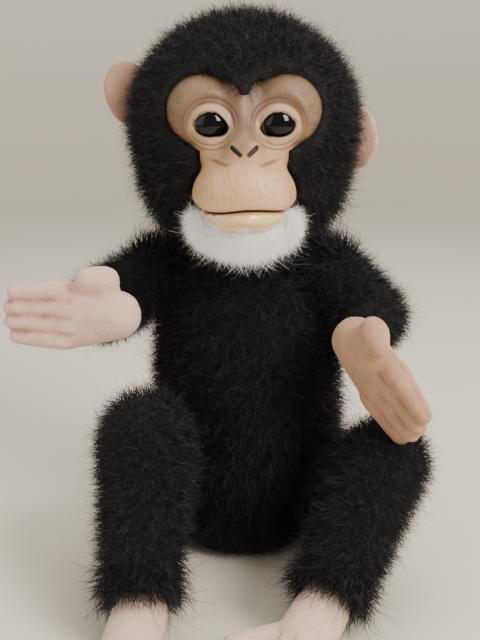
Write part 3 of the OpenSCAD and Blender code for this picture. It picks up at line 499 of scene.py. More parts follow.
MOTTLING = grain_group()


def mottle(tree, shader, size, strength, relief, colour=None, attribute=None):
    """Feeds a shader's colour and normal through the mottling group."""
    group = add_node(tree, "ShaderNodeGroup", node_tree=MOTTLING)
    group.inputs["Size"].default_value = size
    group.inputs["Strength"].default_value = strength
    if attribute:
        reader = add_node(tree, "ShaderNodeAttribute", attribute_name=attribute)
        tree.links.new(reader.outputs["Color"], group.inputs["Colour"])
    else:
        group.inputs["Colour"].default_value = (*colour, 1)
    tree.links.new(group.outputs["Colour"], shader.inputs["Base Color"])
    raised = add_node(tree, "ShaderNodeBump")
    raised.inputs["Strength"].default_value = 0.6
    raised.inputs["Distance"].default_value = relief
    tree.links.new(group.outputs["Height"], raised.inputs["Height"])
    tree.links.new(raised.outputs["Normal"], shader.inputs["Normal"])


def place_piece(name, mesh, material, slot, body, *nodes):
    """Puts a finished mesh in the scene, on its body, for the nodes that it stands for."""
    piece = bpy.data.objects.new(name, mesh)
    bpy.context.scene.collection.objects.link(piece)
    mesh.materials.clear()
    mesh.materials.append(material)
    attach(piece, body)
    if nodes:
        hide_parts(*nodes)
    return piece


def thicken(mesh, depth):
    """Gives a sheet a wall of this depth behind it, with a closed rim."""
    holder = bpy.data.objects.new("wall", mesh)
    bpy.context.scene.collection.objects.link(holder)
    wall = holder.modifiers.new("wall", "SOLIDIFY")
    wall.thickness = depth
    wall.offset = -1
    walled = bpy.data.meshes.new_from_object(holder.evaluated_get(bpy.context.evaluated_depsgraph_get()))
    bpy.data.objects.remove(holder)
    walled.shade_smooth()
    return walled


vinyl, vinyl_tree, vinyl_shader = new_material("painted_vinyl", 0.50)
vinyl_shader.inputs["Subsurface Weight"].default_value = 0.12
vinyl_shader.inputs["Subsurface Radius"].default_value = (0.004, 0.0018, 0.001)
vinyl_shader.inputs["Subsurface Scale"].default_value = 0.5
mottle(vinyl_tree, vinyl_shader, 900, 0.05, 0.00012, attribute="paint")
place_piece("face", thicken(face_mesh, VINYL_T * MM), vinyl, "vinyl", "head", "face_mask")

# ---- The eyes ----
# Two glossy resin half domes, black with a wide dark pupil and a ring of amber
# that shows at one corner. Each is held by a washer behind the face plate.
GAZE = Vector((0.075, -1.0, 0.03)).normalized()
PUPIL_ANGLE = math.radians(47)
RING_ANGLE = math.radians(62)

eye_gloss, eye_tree, eye_shader = new_material("eye_resin", 0.035)
eye_shader.inputs["Specular IOR Level"].default_value = 0.32
for side, eye_name in ((-1, "right_eye"), (1, "left_eye")):
    ball = bmesh.new()
    bmesh.ops.create_uvsphere(ball, u_segments=72, v_segments=48, radius=EYE_RADIUS * MM)
    bmesh.ops.transform(ball, matrix=GAZE.to_track_quat("Z", "Y").to_matrix().to_4x4(), verts=ball.verts)
    eye_mesh = bpy.data.meshes.new(eye_name)
    ball.to_mesh(eye_mesh)
    ball.free()
    at = np.empty(len(eye_mesh.vertices) * 3)
    eye_mesh.vertices.foreach_get("co", at)
    at = at.reshape(-1, 3)
    lean = np.arccos(np.clip(at @ np.array(GAZE) / (EYE_RADIUS * MM), -1, 1))
    streak = 0.5 + 0.5 * np.sin(23 * np.arctan2(at[:, 2], at[:, 0]))
    eye_paint = np.tile(linear(9, 7, 7), (len(at), 1))
    eye_paint = wash(eye_paint, linear(128, 98, 64), ramp(lean, PUPIL_ANGLE, PUPIL_ANGLE + 0.05))
    rays = streak * ramp(lean, PUPIL_ANGLE, PUPIL_ANGLE + 0.08)
    eye_paint = wash(eye_paint, linear(170, 138, 96), 0.4 * rays)
    eye_paint = wash(eye_paint, linear(30, 18, 12), ramp(lean, RING_ANGLE, RING_ANGLE + 0.1))
    paint_points(eye_mesh, "paint", eye_paint)
    eye_mesh.transform(Matrix.Translation(Vector((side * EYE_X, EYE_Y, EYE_Z)) * MM + Vector(NECK)))
    eye_mesh.shade_smooth()
    place_piece(eye_name + "_dome", eye_mesh, eye_gloss, "eye_gloss", "head", eye_name)
reader = add_node(eye_tree, "ShaderNodeAttribute", attribute_name="paint")
eye_tree.links.new(reader.outputs["Color"], eye_shader.inputs["Base Color"])

# ---- The head's fur ----
# Black curly plush, sewn in two halves that meet over the crown and glued round
# the edge of the face. The pile is about 9 mm long over a knitted back, with
# longer loose hairs that stand out at the outline.
CROWN = (0, 4, 65)
CROWN_R = (59.5, 52.5, 55)
CHEEK = (0, -2, 35)
CHEEK_R = (53.5, 43, 30)


def head_surface(p):
    """Distance to the head's fabric skin, measured from the neck ball's centre."""
    form = join(ellipsoid(p, CROWN, CROWN_R), ellipsoid(p, CHEEK, CHEEK_R), 10)
    chin_room = np.maximum(np.maximum(np.abs(p[..., 0]) - 31, p[..., 2] - 27), p[..., 1] + 25)
    form = carve(form, chin_room, 3)
    neck_room = np.maximum(np.hypot(p[..., 0], p[..., 1]) - 21, p[..., 2] - 8)
    form = carve(form, neck_room, 2)
    face_room = np.maximum(face_edge(p[..., 0], p[..., 2]) - 0.6, p[..., 1] + 27)
    return carve(form, face_room, 1.6)


def sphere_mesh(name, levels):
    """Points all round a unit sphere and the triangles between them."""
    ball = bmesh.new()
    bmesh.ops.create_icosphere(ball, subdivisions=levels, radius=1)
    mesh = bpy.data.meshes.new(name)
    ball.to_mesh(mesh)
    ball.free()
    return mesh


def read_vectors(things, key):
    """One vector of each of a mesh's things as an array."""
    at = np.empty(len(things) * 3)
    things.foreach_get(key, at)
    return at.reshape(-1, 3)


def points_of(mesh):
    """A mesh's vertices as an array."""
    return read_vectors(mesh.vertices, "co")


def normals_of(mesh):
    """A mesh's vertex normals as an array."""
    return read_vectors(mesh.vertices, "normal")


def set_points(mesh, at):
    """Moves a mesh's vertices."""
    mesh.vertices.foreach_set("co", np.ascontiguousarray(at, np.float32).ravel())
    mesh.update()


def store_points(mesh, name, values):
    """Stores one number or one vector for each vertex."""
    values = np.asarray(values, np.float32)
    kind, key = ("FLOAT", "value") if values.ndim == 1 else ("FLOAT_VECTOR", "vector")
    mesh.attributes.new(name, kind, "POINT").data.foreach_set(key, values.ravel())


def make_blade(name, width, rings, bend, wave, twist):
    """One hair of unit length: a thin tapered ribbon that stands on +Z, bent and waved."""
    hair = bmesh.new()
    layer = hair.verts.layers.float.new("along")
    rows = []
    for ring in range(rings):
        along = ring / rings
        middle = Vector((bend * along ** 2 + wave * math.sin(7 * along),
                         wave * math.cos(6 * along) - wave, along))
        half = width / 2 * (1 - 0.75 * along ** 1.6)
        across = Vector((math.sin(twist * along), math.cos(twist * along), 0)) * half
        pair = [hair.verts.new(middle - across), hair.verts.new(middle + across)]
        for vert in pair:
            vert[layer] = along
        rows.append(pair)
    tip = hair.verts.new(Vector((bend + wave * math.sin(7), wave * math.cos(6) - wave, 1)))
    tip[layer] = 1
    for lower, upper in zip(rows, rows[1:]):
        hair.faces.new((lower[0], lower[1], upper[1], upper[0]))
    hair.faces.new((rows[-1][0], rows[-1][1], tip))
    mesh = bpy.data.meshes.new(name)
    hair.to_mesh(mesh)
    hair.free()
    return bpy.data.objects.new(name, mesh)


def make_blades(name, count, width, rings, wave, seed):
    """A collection of differently bent hairs to pick from."""
    draws = np.random.RandomState(seed)
    bundle = bpy.data.collections.new(name)
    for number in range(count):
        bundle.objects.link(make_blade(f"{name}_{number}", width, rings, draws.uniform(0.1, 1.0),
                                       draws.uniform(-wave, wave), draws.uniform(-2.5, 2.5)))
    return bundle


def fur_group():
    """Geometry nodes that plant hairs on a skin, by its cover, pile and comb attributes."""
    tree = bpy.data.node_groups.new("plant_fur", "GeometryNodeTree")
    tree.interface.new_socket("Skin", in_out="INPUT", socket_type="NodeSocketGeometry")
    for socket, kind in (("Hairs", "Collection"), ("Coat", "Material"), ("Hairs per square metre", "Float"),
                         ("Tousle", "Float"), ("Lock size", "Float"), ("Seed", "Int")):
        tree.interface.new_socket(socket, in_out="INPUT", socket_type="NodeSocket" + kind)
    tree.interface.new_socket("Fur", in_out="OUTPUT", socket_type="NodeSocketGeometry")
    wire = tree.links.new
    entry = add_node(tree, "NodeGroupInput")
    leave = add_node(tree, "NodeGroupOutput")

    def stored(name, kind):
        reader = add_node(tree, "GeometryNodeInputNamedAttribute", data_type=kind)
        reader.inputs["Name"].default_value = name
        return reader.outputs["Attribute"]

    def chance(low, high, salt):
        draw = add_node(tree, "FunctionNodeRandomValue", data_type="FLOAT")
        draw.inputs[2].default_value = low
        draw.inputs[3].default_value = high
        shifted = add_node(tree, "ShaderNodeMath", operation="ADD")
        shifted.inputs[1].default_value = salt
        wire(entry.outputs["Seed"], shifted.inputs[0])
        wire(shifted.outputs[0], draw.inputs["Seed"])
        return draw.outputs[1]

    scatter = add_node(tree, "GeometryNodeDistributePointsOnFaces", distribute_method="RANDOM")
    thick = add_node(tree, "ShaderNodeMath", operation="MULTIPLY")
    wire(stored("cover", "FLOAT"), thick.inputs[0])
    wire(entry.outputs["Hairs per square metre"], thick.inputs[1])
    wire(entry.outputs["Skin"], scatter.inputs["Mesh"])
    wire(thick.outputs[0], scatter.inputs["Density"])
    wire(entry.outputs["Seed"], scatter.inputs["Seed"])
    locks = add_node(tree, "ShaderNodeTexNoise")
    locks.inputs["Detail"].default_value = 1.5
    wire(add_node(tree, "GeometryNodeInputPosition").outputs[0], locks.inputs["Vector"])
    wire(entry.outputs["Lock size"], locks.inputs["Scale"])
    centred = add_node(tree, "ShaderNodeVectorMath", operation="SUBTRACT")
    centred.inputs[1].default_value = (0.5, 0.5, 0.5)
    wire(locks.outputs["Color"], centred.inputs[0])
    swept = add_node(tree, "ShaderNodeVectorMath", operation="SCALE")
    wire(centred.outputs[0], swept.inputs[0])
    wire(entry.outputs["Tousle"], swept.inputs["Scale"])
    stray = add_node(tree, "FunctionNodeRandomValue", data_type="FLOAT_VECTOR")
    stray.inputs[0].default_value = (-0.55, -0.55, -0.55)
    stray.inputs[1].default_value = (0.55, 0.55, 0.55)
    wire(entry.outputs["Seed"], stray.inputs["Seed"])
    strayed = add_node(tree, "ShaderNodeVectorMath", operation="ADD")
    wire(swept.outputs[0], strayed.inputs[0])
    wire(stray.outputs[0], strayed.inputs[1])
    lean = add_node(tree, "ShaderNodeVectorMath", operation="ADD")
    wire(strayed.outputs[0], lean.inputs[0])
    wire(stored("comb", "FLOAT_VECTOR"), lean.inputs[1])
    stand = add_node(tree, "ShaderNodeVectorMath", operation="ADD")
    wire(lean.outputs[0], stand.inputs[0])
    wire(scatter.outputs["Normal"], stand.inputs[1])
    aim = add_node(tree, "FunctionNodeAlignRotationToVector", axis="Z")
    wire(stand.outputs[0], aim.inputs["Vector"])
    spin = add_node(tree, "FunctionNodeAxisAngleToRotation")
    spin.inputs["Axis"].default_value = (0, 0, 1)
    wire(chance(-3.14, 3.14, 1), spin.inputs["Angle"])
    turned = add_node(tree, "FunctionNodeRotateRotation", rotation_space="LOCAL")
    wire(aim.outputs[0], turned.inputs[0])
    wire(spin.outputs[0], turned.inputs[1])
    length = add_node(tree, "ShaderNodeMath", operation="MULTIPLY")
    wire(stored("pile", "FLOAT"), length.inputs[0])
    wire(chance(0.65, 1.15, 2), length.inputs[1])
    hairs = add_node(tree, "GeometryNodeCollectionInfo")
    hairs.inputs["Separate Children"].default_value = True
    hairs.inputs["Reset Children"].default_value = True
    wire(entry.outputs["Hairs"], hairs.inputs["Collection"])
    plant = add_node(tree, "GeometryNodeInstanceOnPoints")
    plant.inputs["Pick Instance"].default_value = True
    wire(scatter.outputs["Points"], plant.inputs["Points"])
    wire(hairs.outputs[0], plant.inputs["Instance"])
    wire(turned.outputs[0], plant.inputs["Rotation"])
    wire(length.outputs[0], plant.inputs["Scale"])
    shade = add_node(tree, "GeometryNodeStoreNamedAttribute", data_type="FLOAT", domain="INSTANCE")
    shade.inputs["Name"].default_value = "tone"
    wire(plant.outputs[0], shade.inputs["Geometry"])
    wire(chance(0, 1, 3), shade.inputs["Value"])
    real = add_node(tree, "GeometryNodeRealizeInstances")
    wire(shade.outputs[0], real.inputs[0])
    coat = add_node(tree, "GeometryNodeSetMaterial")
    wire(real.outputs[0], coat.inputs["Geometry"])
    wire(entry.outputs["Coat"], coat.inputs["Material"])
    wire(coat.outputs[0], leave.inputs[0])
    return tree


FUR = fur_group()
SHORT_HAIRS = make_blades("short_hair", 12, 0.030, 2, 0.16, 5)
LONG_HAIRS = make_blades("long_hair", 10, 0.014, 5, 0.16, 6)


def coat_material(name, dark, light, tip_glint):
    """Hair: dark at the root, lighter to the tip, and a lighter colour still at the tips of a few hairs, a painted
    highlight for the pile's speckled glints.
    """
    material, tree, shader = new_material(name, 0.6)
    shader.inputs["Specular IOR Level"].default_value = 0.4
    tone = add_node(tree, "ShaderNodeAttribute", attribute_name="tone")
    along = add_node(tree, "ShaderNodeAttribute", attribute_name="along")
    blend = add_node(tree, "ShaderNodeMath", operation="MULTIPLY")
    tree.links.new(tone.outputs["Fac"], blend.inputs[0])
    tree.links.new(along.outputs["Fac"], blend.inputs[1])
    band = add_node(tree, "ShaderNodeValToRGB")
    band.color_ramp.elements[0].color = (*dark, 1)
    band.color_ramp.elements[1].position = 0.86
    band.color_ramp.elements[1].color = (*light, 1)
    # Painted highlight: the tips of a few hairs turn lighter still, for the pile's speckled glints.
    last = band.color_ramp.elements.new(0.97)
    last.color = (*tip_glint, 1)
    tree.links.new(blend.outputs[0], band.inputs["Fac"])
    tree.links.new(band.outputs["Color"], shader.inputs["Base Color"])
    return material


# The black fur's few light brown tips are painted highlight.
BLACK_COAT = coat_material("black_fur", (0.0042, 0.0034, 0.0050), (0.017, 0.0128, 0.0185),
                           (0.11, 0.075, 0.07))
WHITE_COAT = coat_material("white_fur", (0.93, 0.91, 0.88), (0.97, 0.96, 0.94), (0.98, 0.98, 0.97))
# The white fur glows a little of its own: painted light that brightens the beard.
white_hair = WHITE_COAT.node_tree.nodes["Principled BSDF"]
white_hair.inputs["Emission Color"].default_value = (1.0, 0.97, 0.93, 1)
white_hair.inputs["Emission Strength"].default_value = 0.11
knit, knit_tree, knit_shader = new_material("black_knit", 0.95, sheen=0.2)
mottle(knit_tree, knit_shader, 900, 0.4, 0.0004, colour=(0.006, 0.005, 0.0055))


def grow_fur(name, skin, body, slot, coat, hairs, per_metre, tousle, lock, seed):
    """Plants hairs on a skin mesh and puts them on a body, as one piece."""
    holder = bpy.data.objects.new(name, skin)
    bpy.context.scene.collection.objects.link(holder)
    planting = holder.modifiers.new("fur", "NODES")
    planting.node_group = FUR
    values = {"Hairs": hairs, "Coat": coat, "Hairs per square metre": per_metre, "Tousle": tousle,
              "Lock size": lock, "Seed": seed}
    for socket in FUR.interface.items_tree:
        if socket.name in values:
            planting[socket.identifier] = values[socket.name]
    grown = bpy.data.meshes.new_from_object(holder.evaluated_get(bpy.context.evaluated_depsgraph_get()))
    bpy.data.objects.remove(holder)
    return place_piece(name, grown, coat, slot, body)


FUR_ROOM = 0.03 * (np.array(cad_box[1]) - np.array(cad_box[0])) + 0.0095
FLOOR_GAP = 0.0004


def press_in(mesh):
    """Presses hairs that reach past the toy's room, or into the table, back to its edge."""
    low = np.array(cad_box[0]) - FUR_ROOM
    low[2] = FLOOR_GAP
    set_points(mesh, np.clip(points_of(mesh), low, np.array(cad_box[1]) + FUR_ROOM))


def fur_piece(name, skin, body, slot, coat, cloth, nodes, pile, comb, cover, seed, density=1.35e6):
    """A fur-covered part: its knitted skin, its pile, and its longer loose hairs."""
    store_points(skin, "pile", pile)
    store_points(skin, "comb", comb)
    store_points(skin, "cover", cover)
    skin.shade_smooth()
    pile_piece = grow_fur(name + "_pile", skin, body, slot, coat, SHORT_HAIRS, density, 1.5, 360, seed)
    skin.attributes["pile"].data.foreach_set("value", (np.asarray(pile) * 1.6).astype(np.float32))
    loose_piece = grow_fur(name + "_loose_hair", skin, body, slot, coat, LONG_HAIRS, density * 0.08, 1.7,
                           300, seed + 1)
    base = place_piece(name, skin, cloth, slot, body, *nodes)
    for hairs in (pile_piece, loose_piece):
        press_in(hairs.data)
    return base


head_skin = sphere_mesh("head_skin", 6)
head_rays = points_of(head_skin)
head_from = np.array([0.0, 2.0, 50.0])
head_far = reach(head_rays, head_from, head_surface, 4, 75, 60)
head_at = head_from + head_rays * head_far[:, None]
set_points(head_skin, (head_at + NECK / MM) * MM)
head_edge = face_edge(head_at[:, 0], head_at[:, 2])
in_front = ramp(-head_at[:, 1], 0, 20)
from_face = np.clip(head_edge, 0, None)
head_cover = np.where((head_edge < 0.9) & (head_at[:, 1] < -10), 0.0, 1.0)
over_jaw = (np.abs(head_at[:, 0]) < 30.5) & (head_at[:, 1] < -15) & (head_at[:, 2] < 26)
head_cover *= np.where(over_jaw, 0.0, 1.0)
head_cover *= np.where((np.hypot(head_at[:, 0], head_at[:, 1]) < 22) & (head_at[:, 2] < 10), 0.0, 1.0)
head_pile = 9.0 - 3.2 * in_front * ramp(-from_face, -9, 0)
away = np.column_stack([head_at[:, 0], np.zeros(len(head_at)), head_at[:, 2] - 58])
away /= np.maximum(np.linalg.norm(away, axis=1), 1)[:, None]
head_comb = 0.3 * away * (in_front * ramp(-from_face, -14, -2))[:, None]
head_comb -= 0.55 * away * (in_front * ramp(-from_face, -3.5, 0) * ramp(head_at[:, 2], 44, 52))[:, None]
head_comb[:, 0] += 0.1 * np.sign(head_at[:, 0])
head_comb[:, 2] -= 0.2
ruff = ramp(-head_at[:, 2], -32, -8) * ramp(np.hypot(head_at[:, 0], head_at[:, 1]), 22, 34)
head_pile += 7.0 * ruff
head_comb[:, 2] -= 1.1 * ruff
fur_piece("head_fur", head_skin, "head", "black_fur", BLACK_COAT, knit,
          ("head_fur_right", "head_fur_left"), head_pile * MM, head_comb, head_cover, 21)

# ---- The body's fur ----
# The stuffed torso: a front panel, two back panels that meet at the spine, and
# a round seat. The same plush as the head, combed down.


def form_of(name, nodes, voxel, smooth, swell=0.0):
    """One closed soft form round copies of CAD solids, with its corners softened."""
    gathered = bmesh.new()
    for node in nodes:
        gathered.from_mesh(frame["nodes"][node].data)
    mesh = bpy.data.meshes.new(name)
    gathered.to_mesh(mesh)
    gathered.free()
    holder = bpy.data.objects.new(name, mesh)
    bpy.context.scene.collection.objects.link(holder)
    wrap = holder.modifiers.new("wrap", "REMESH")
    wrap.mode = "VOXEL"
    wrap.voxel_size = voxel
    soften = holder.modifiers.new("soften", "SMOOTH")
    soften.iterations = smooth
    formed = bpy.data.meshes.new_from_object(holder.evaluated_get(bpy.context.evaluated_depsgraph_get()))
    bpy.data.objects.remove(holder)
    largest_part(formed)
    if swell:
        set_points(formed, points_of(formed) + normals_of(formed) * swell)
    return formed


def largest_part(mesh):
    """Keeps only the outermost closed part of a mesh."""
    cut = bmesh.new()
    cut.from_mesh(mesh)
    unseen = set(cut.verts)
    parts = []
    while unseen:
        start = unseen.pop()
        part = [start]
        front = [start]
        while front:
            vert = front.pop()
            for edge in vert.link_edges:
                other = edge.other_vert(vert)
                if other in unseen:
                    unseen.remove(other)
                    part.append(other)
                    front.append(other)
        parts.append(part)
    parts.sort(key=len)
    for part in parts[:-1]:
        bmesh.ops.delete(cut, geom=part, context="VERTS")
    cut.to_mesh(mesh)
    cut.free()
    mesh.update()


def stuff(mesh, swell_cap, frames=18):
    """Lets pressure fill a form as stuffing does, and keeps it near its pattern."""
    before = points_of(mesh)
    pad = bpy.data.objects.new("stuffing_pad", mesh.copy())
    bpy.context.scene.collection.objects.link(pad)
    cloth = pad.modifiers.new("cloth", "CLOTH")
    cloth.settings.quality = 5
    cloth.settings.use_pressure = True
    cloth.settings.uniform_pressure_force = 4
    cloth.settings.tension_stiffness = 12
    cloth.settings.compression_stiffness = 12
    cloth.settings.bending_stiffness = 0.6
    cloth.settings.effector_weights.gravity = 0
    cloth.collision_settings.use_collision = False
    cloth.point_cache.frame_start = 1
    cloth.point_cache.frame_end = frames
    for frame_number in range(1, frames + 1):
        bpy.context.scene.frame_set(frame_number)
    after = points_of(pad.evaluated_get(bpy.context.evaluated_depsgraph_get()).data)
    bpy.data.objects.remove(pad)
    bpy.context.scene.frame_set(1)
    move = after - before
    size = np.maximum(np.linalg.norm(move, axis=1), 1e-9)
    set_points(mesh, before + move * (np.minimum(size, swell_cap) / size)[:, None])


def joint_at(name):
    """Where a hinge is, in metres."""
    return next(np.array(joint["pos_m"]) for joint in frame["joints"] if joint["name"] == name)


def near(at, place, radius, soft):
    """1 within radius of a place, 0 further than soft beyond it."""
    return ramp(-np.linalg.norm(at - place, axis=1), -radius - soft, -radius)


DOWN = np.array([0.0, 0.0, -1.0])
shoulders = [joint_at("right_shoulder_swing"), joint_at("left_shoulder_swing")]
hips = [joint_at("right_hip"), joint_at("left_hip")]
TORSO_NODES = ("torso_front_panel", "torso_back_panel_right", "torso_back_panel_left", "seat_panel",
               "torso_stuffing", "pellet_bag")
torso_skin = form_of("torso", TORSO_NODES, 3.0 * MM, 6)
stuff(torso_skin, 1.5 * MM)
torso_at = points_of(torso_skin)
torso_side = normals_of(torso_skin)[:, 0]
fullness = ramp(np.abs(torso_side), 0.45, 0.9)
fullness *= ramp(torso_at[:, 2], 0.045, 0.062) * ramp(-torso_at[:, 2], -0.15, -0.132)
fullness *= np.where(torso_side > 0, 1.0, 0.45)
torso_at[:, 0] += np.sign(torso_side) * 3.6 * MM * fullness
set_points(torso_skin, torso_at)
torso_cover = 1 - near(torso_at, shoulders[0], 0.0205, 0.001)
torso_cover *= 1 - near(torso_at, shoulders[1], 0.0205, 0.001)
torso_cover *= 1 - near(torso_at, hips[0], 0.0222, 0.001)
torso_cover *= 1 - near(torso_at, hips[1], 0.0222, 0.001)
torso_cover *= ramp(torso_at[:, 2], 0.0015, 0.004)
flap_low, flap_high = (np.array(corner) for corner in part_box("back_flap"))
under_flap = (torso_at[:, 1] > 0) & (np.abs(torso_at[:, 0]) < flap_high[0] + 0.001)
under_flap &= (torso_at[:, 2] > flap_low[2] - 0.001) & (torso_at[:, 2] < flap_high[2] + 0.001)
torso_cover *= np.where(under_flap, 0.0, 1.0)
torso_pile = np.full(len(torso_at), 9.0 * MM)
torso_pile -= 3.0 * MM * ramp(-torso_at[:, 2], -0.02, -0.004)
torso_pile += 3.8 * MM * fullness
torso_comb = 0.3 * np.tile(DOWN, (len(torso_at), 1))
torso_comb[:, 0] += 0.6 * np.sign(torso_side) * fullness
collar = ramp(torso_at[:, 2], 0.150, 0.170)
torso_pile += 4.5 * MM * collar
torso_comb[:, 0] += 12.0 * torso_at[:, 0] * collar
torso_comb[:, 1] += 8.0 * torso_at[:, 1] * collar
torso_comb[:, 2] += 0.9 * collar
fur_piece("torso_fur", torso_skin, "torso", "black_fur", BLACK_COAT, knit, TORSO_NODES,
          torso_pile, torso_comb, torso_cover, 31, 1.22e6)

# ---- The back flap ----
# A panel of the same plush over the battery box. It is hinged along one long
# side and held shut by hook and loop strips on the other.
flap_skin = form_of("flap", ("back_flap",), 0.9 * MM, 3)
flap_at = points_of(flap_skin)
flap_out = normals_of(flap_skin)[:, 1]
fur_piece("flap_fur", flap_skin, "flap", "black_fur", BLACK_COAT, knit, ("back_flap",),
          np.full(len(flap_at), 9.0 * MM), 0.3 * np.tile(DOWN, (len(flap_at), 1)),
          ramp(flap_out, 0.4, 0.6), 41)

# ---- The arms ----
# Two stuffed sleeves of the plush, bent at the elbow. A gathered ring of cloth
# joins each to the torso, and the velboa hand comes out of the cuff.


def limb_comb(at, start, bend, end):
    """The way that hair lies along a limb that bends once."""
    upper, lower = bend - start, end - bend
    upper, lower = upper / np.linalg.norm(upper), lower / np.linalg.norm(lower)
    share = ramp((at - bend) @ (upper + lower), -0.012, 0.012)
    return upper + (lower - upper) * share[:, None]


def box_centre(node):
    """The middle of a CAD node."""
    low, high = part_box(node)
    return (np.array(low) + np.array(high)) / 2


for side, name, elbow in ((-1, "right", (-0.080, -0.014, 0.145)), (1, "left", (0.073, -0.014, 0.139))):
    shoulder = joint_at(name + "_shoulder_swing")
    wrist = joint_at(name + "_wrist")
    arm_skin = form_of(name + "_arm", (name + "_arm_sleeve",), 2.2 * MM, 5)
    stuff(arm_skin, 1.2 * MM)
    arm_at = points_of(arm_skin)
    arm_cover = 1 - near(arm_at, wrist, 0.0142, 0.001)
    arm_pile = np.full(len(arm_at), 8.5 * MM) - 2.0 * MM * near(arm_at, wrist, 0.018, 0.008)
    arm_comb = 0.35 * limb_comb(arm_at, shoulder, np.array(elbow), wrist) + 0.15 * DOWN
    shrug = near(arm_at, shoulder + np.array([-side * 0.006, 0, 0.02]), 0.010, 0.016)
    arm_pile += 5.0 * MM * shrug
    arm_comb += np.array([-side * 0.9, 0, 0.7]) * shrug[:, None]
    fur_piece(name + "_arm_fur", arm_skin, name + "_arm", "black_fur", BLACK_COAT, knit,
              (name + "_arm_sleeve",), arm_pile, arm_comb, arm_cover, 50 + 5 * side)
    ring_skin = form_of(name + "_ring", (name + "_shoulder_web",), 0.8 * MM, 2)
    ring_at = points_of(ring_skin)
    pucker = np.arctan2(ring_at[:, 2] - shoulder[2], ring_at[:, 1] - shoulder[1])
    ring_at += normals_of(ring_skin) * (0.12 * MM * np.sin(26 * pucker))[:, None]
    set_points(ring_skin, ring_at)
    ring_skin.shade_smooth()
    ring = place_piece(name + "_shoulder_ring", ring_skin, knit, "black_cloth", name + "_shoulder",
                       name + "_shoulder_web")

# ---- The legs ----
# Two stuffed trouser legs of the plush, bent at the knee. The feet come out of
# their hems.
for side, name, knee in ((-1, "right", (-0.053, -0.064, 0.086)), (1, "left", (0.075, -0.062, 0.070))):
    hip = joint_at(name + "_hip")
    ankle = joint_at(name + "_ankle")
    leg_skin = form_of(name + "_leg", (name + "_leg_sleeve",), 2.6 * MM, 6)
    stuff(leg_skin, 1.4 * MM)
    leg_at = points_of(leg_skin)
    leg_cover = 1 - near(leg_at, ankle, 0.0152, 0.001)
    leg_cover *= ramp(leg_at[:, 2], 0.001, 0.003)
    hem = near(leg_at, ankle, 0.021, 0.012)
    leg_pile = np.full(len(leg_at), 9.0 * MM) + 4.5 * MM * hem
    leg_pile -= 3.0 * MM * ramp(-leg_at[:, 2], -0.02, -0.004)
    leg_comb = (0.35 + 0.75 * hem)[:, None] * limb_comb(leg_at, hip, np.array(knee), ankle) + 0.15 * DOWN
    fur_piece(name + "_leg_fur", leg_skin, name + "_leg", "black_fur", BLACK_COAT, knit,
              (name + "_leg_sleeve",), leg_pile, leg_comb, leg_cover, 70 + 5 * side)

# ---- The hands, feet and ears ----
# Pink velboa, a cloth with a very short pile. The hands and feet are stuffed
# and sewn through between the fingers and toes.
velboa, velboa_tree, velboa_shader = new_material("pink_velboa", 0.92, sheen=0.35)
velboa_shader.inputs["Sheen Roughness"].default_value = 0.5
velboa_shader.inputs["Sheen Tint"].default_value = (1.0, 0.9, 0.85, 1)
mottle(velboa_tree, velboa_shader, 700, 0.10, 0.0005, attribute="paint")


def local_frame(along, up):
    """Rows of a turn that takes world directions to along, across and up."""
    along = np.array(along, float) / np.linalg.norm(along)
    up = np.array(up, float) - along * (np.array(up, float) @ along)
    up /= np.linalg.norm(up)
    return np.array([along, np.cross(up, along), up])


def sewn_lines(at, lines, depth, width):
    """Depth of the channels that run along these lines: start and end, in local millimetres from above."""
    channel = np.zeros(len(at))
    for start, end in lines:
        start, end = np.array(start, float), np.array(end, float)
        run = end - start
        share = np.clip(((at[:, :2] - start) @ run) / (run @ run), 0, 1)
        gap = np.linalg.norm(at[:, :2] - start - share[:, None] * run, axis=1)
        channel = np.maximum(channel, bump(gap, 0, width) * depth)
    return channel


def velboa_piece(name, nodes, body, origin, frame_rows, lines, depth, width, seam_at, shade,
                 voxel=1.1):
    """A stuffed velboa part with its sewn channels and side seam, painted shade in them, and a lighter mottle in
    the cloth.
    """
    skin = form_of(name, nodes, voxel * MM, 7)
    stuff(skin, 0.8 * MM, 12)
    at = points_of(skin)
    out = normals_of(skin)
    local = ((at - origin) @ frame_rows.T) / MM
    level = out @ frame_rows[2]
    channel = sewn_lines(local, lines, depth, width) * ramp(np.abs(level), 0.15, 0.6)
    seam = bump(local[:, 2], seam_at, 0.55) * ramp(-np.abs(level), -0.75, -0.3)
    pucker = 0.18 * bump(local[:, 2], seam_at, 3.0) * np.sin(local[:, 0] * 2.4 + local[:, 1] * 1.9)
    rough = np.array([noise.noise(Vector(place * 160)) for place in at])
    sunk = channel + 0.45 * seam + pucker * ramp(-np.abs(level), -0.9, -0.4) - 0.25 * rough
    at -= out * (sunk * MM)[:, None]
    set_points(skin, at)
    paint = np.tile(linear(*shade), (len(at), 1))
    # Painted shade in the sewn channels and along the side seam.
    crease_shade = linear(shade[0] * 0.78, shade[1] * 0.70, shade[2] * 0.64)
    paint = wash(paint, crease_shade, 0.7 * channel / depth + 0.6 * seam)
    paint = wash(paint, linear(shade[0] * 1.06, shade[1] * 1.05, shade[2] * 1.03), 0.3 + rough)
    paint_points(skin, "paint", paint)
    skin.shade_smooth()
    piece = place_piece(name, skin, velboa, "pink_velboa", body, *nodes)
    return piece


HAND_LINES = [((24, k * 9.2), (60, k * 7.8)) for k in (-1, 0, 1)]
LEFT_FINGERS = (0.48, -0.55, -0.70)
LEFT_PALM = (-0.804, -0.589, -0.088)
velboa_piece("right_hand_velboa", ("right_hand",), "right_hand", joint_at("right_wrist"),
             local_frame((-1, 0, 0), (0, -1, 0)), HAND_LINES, 1.2, 1.5, 0, (220, 183, 166))
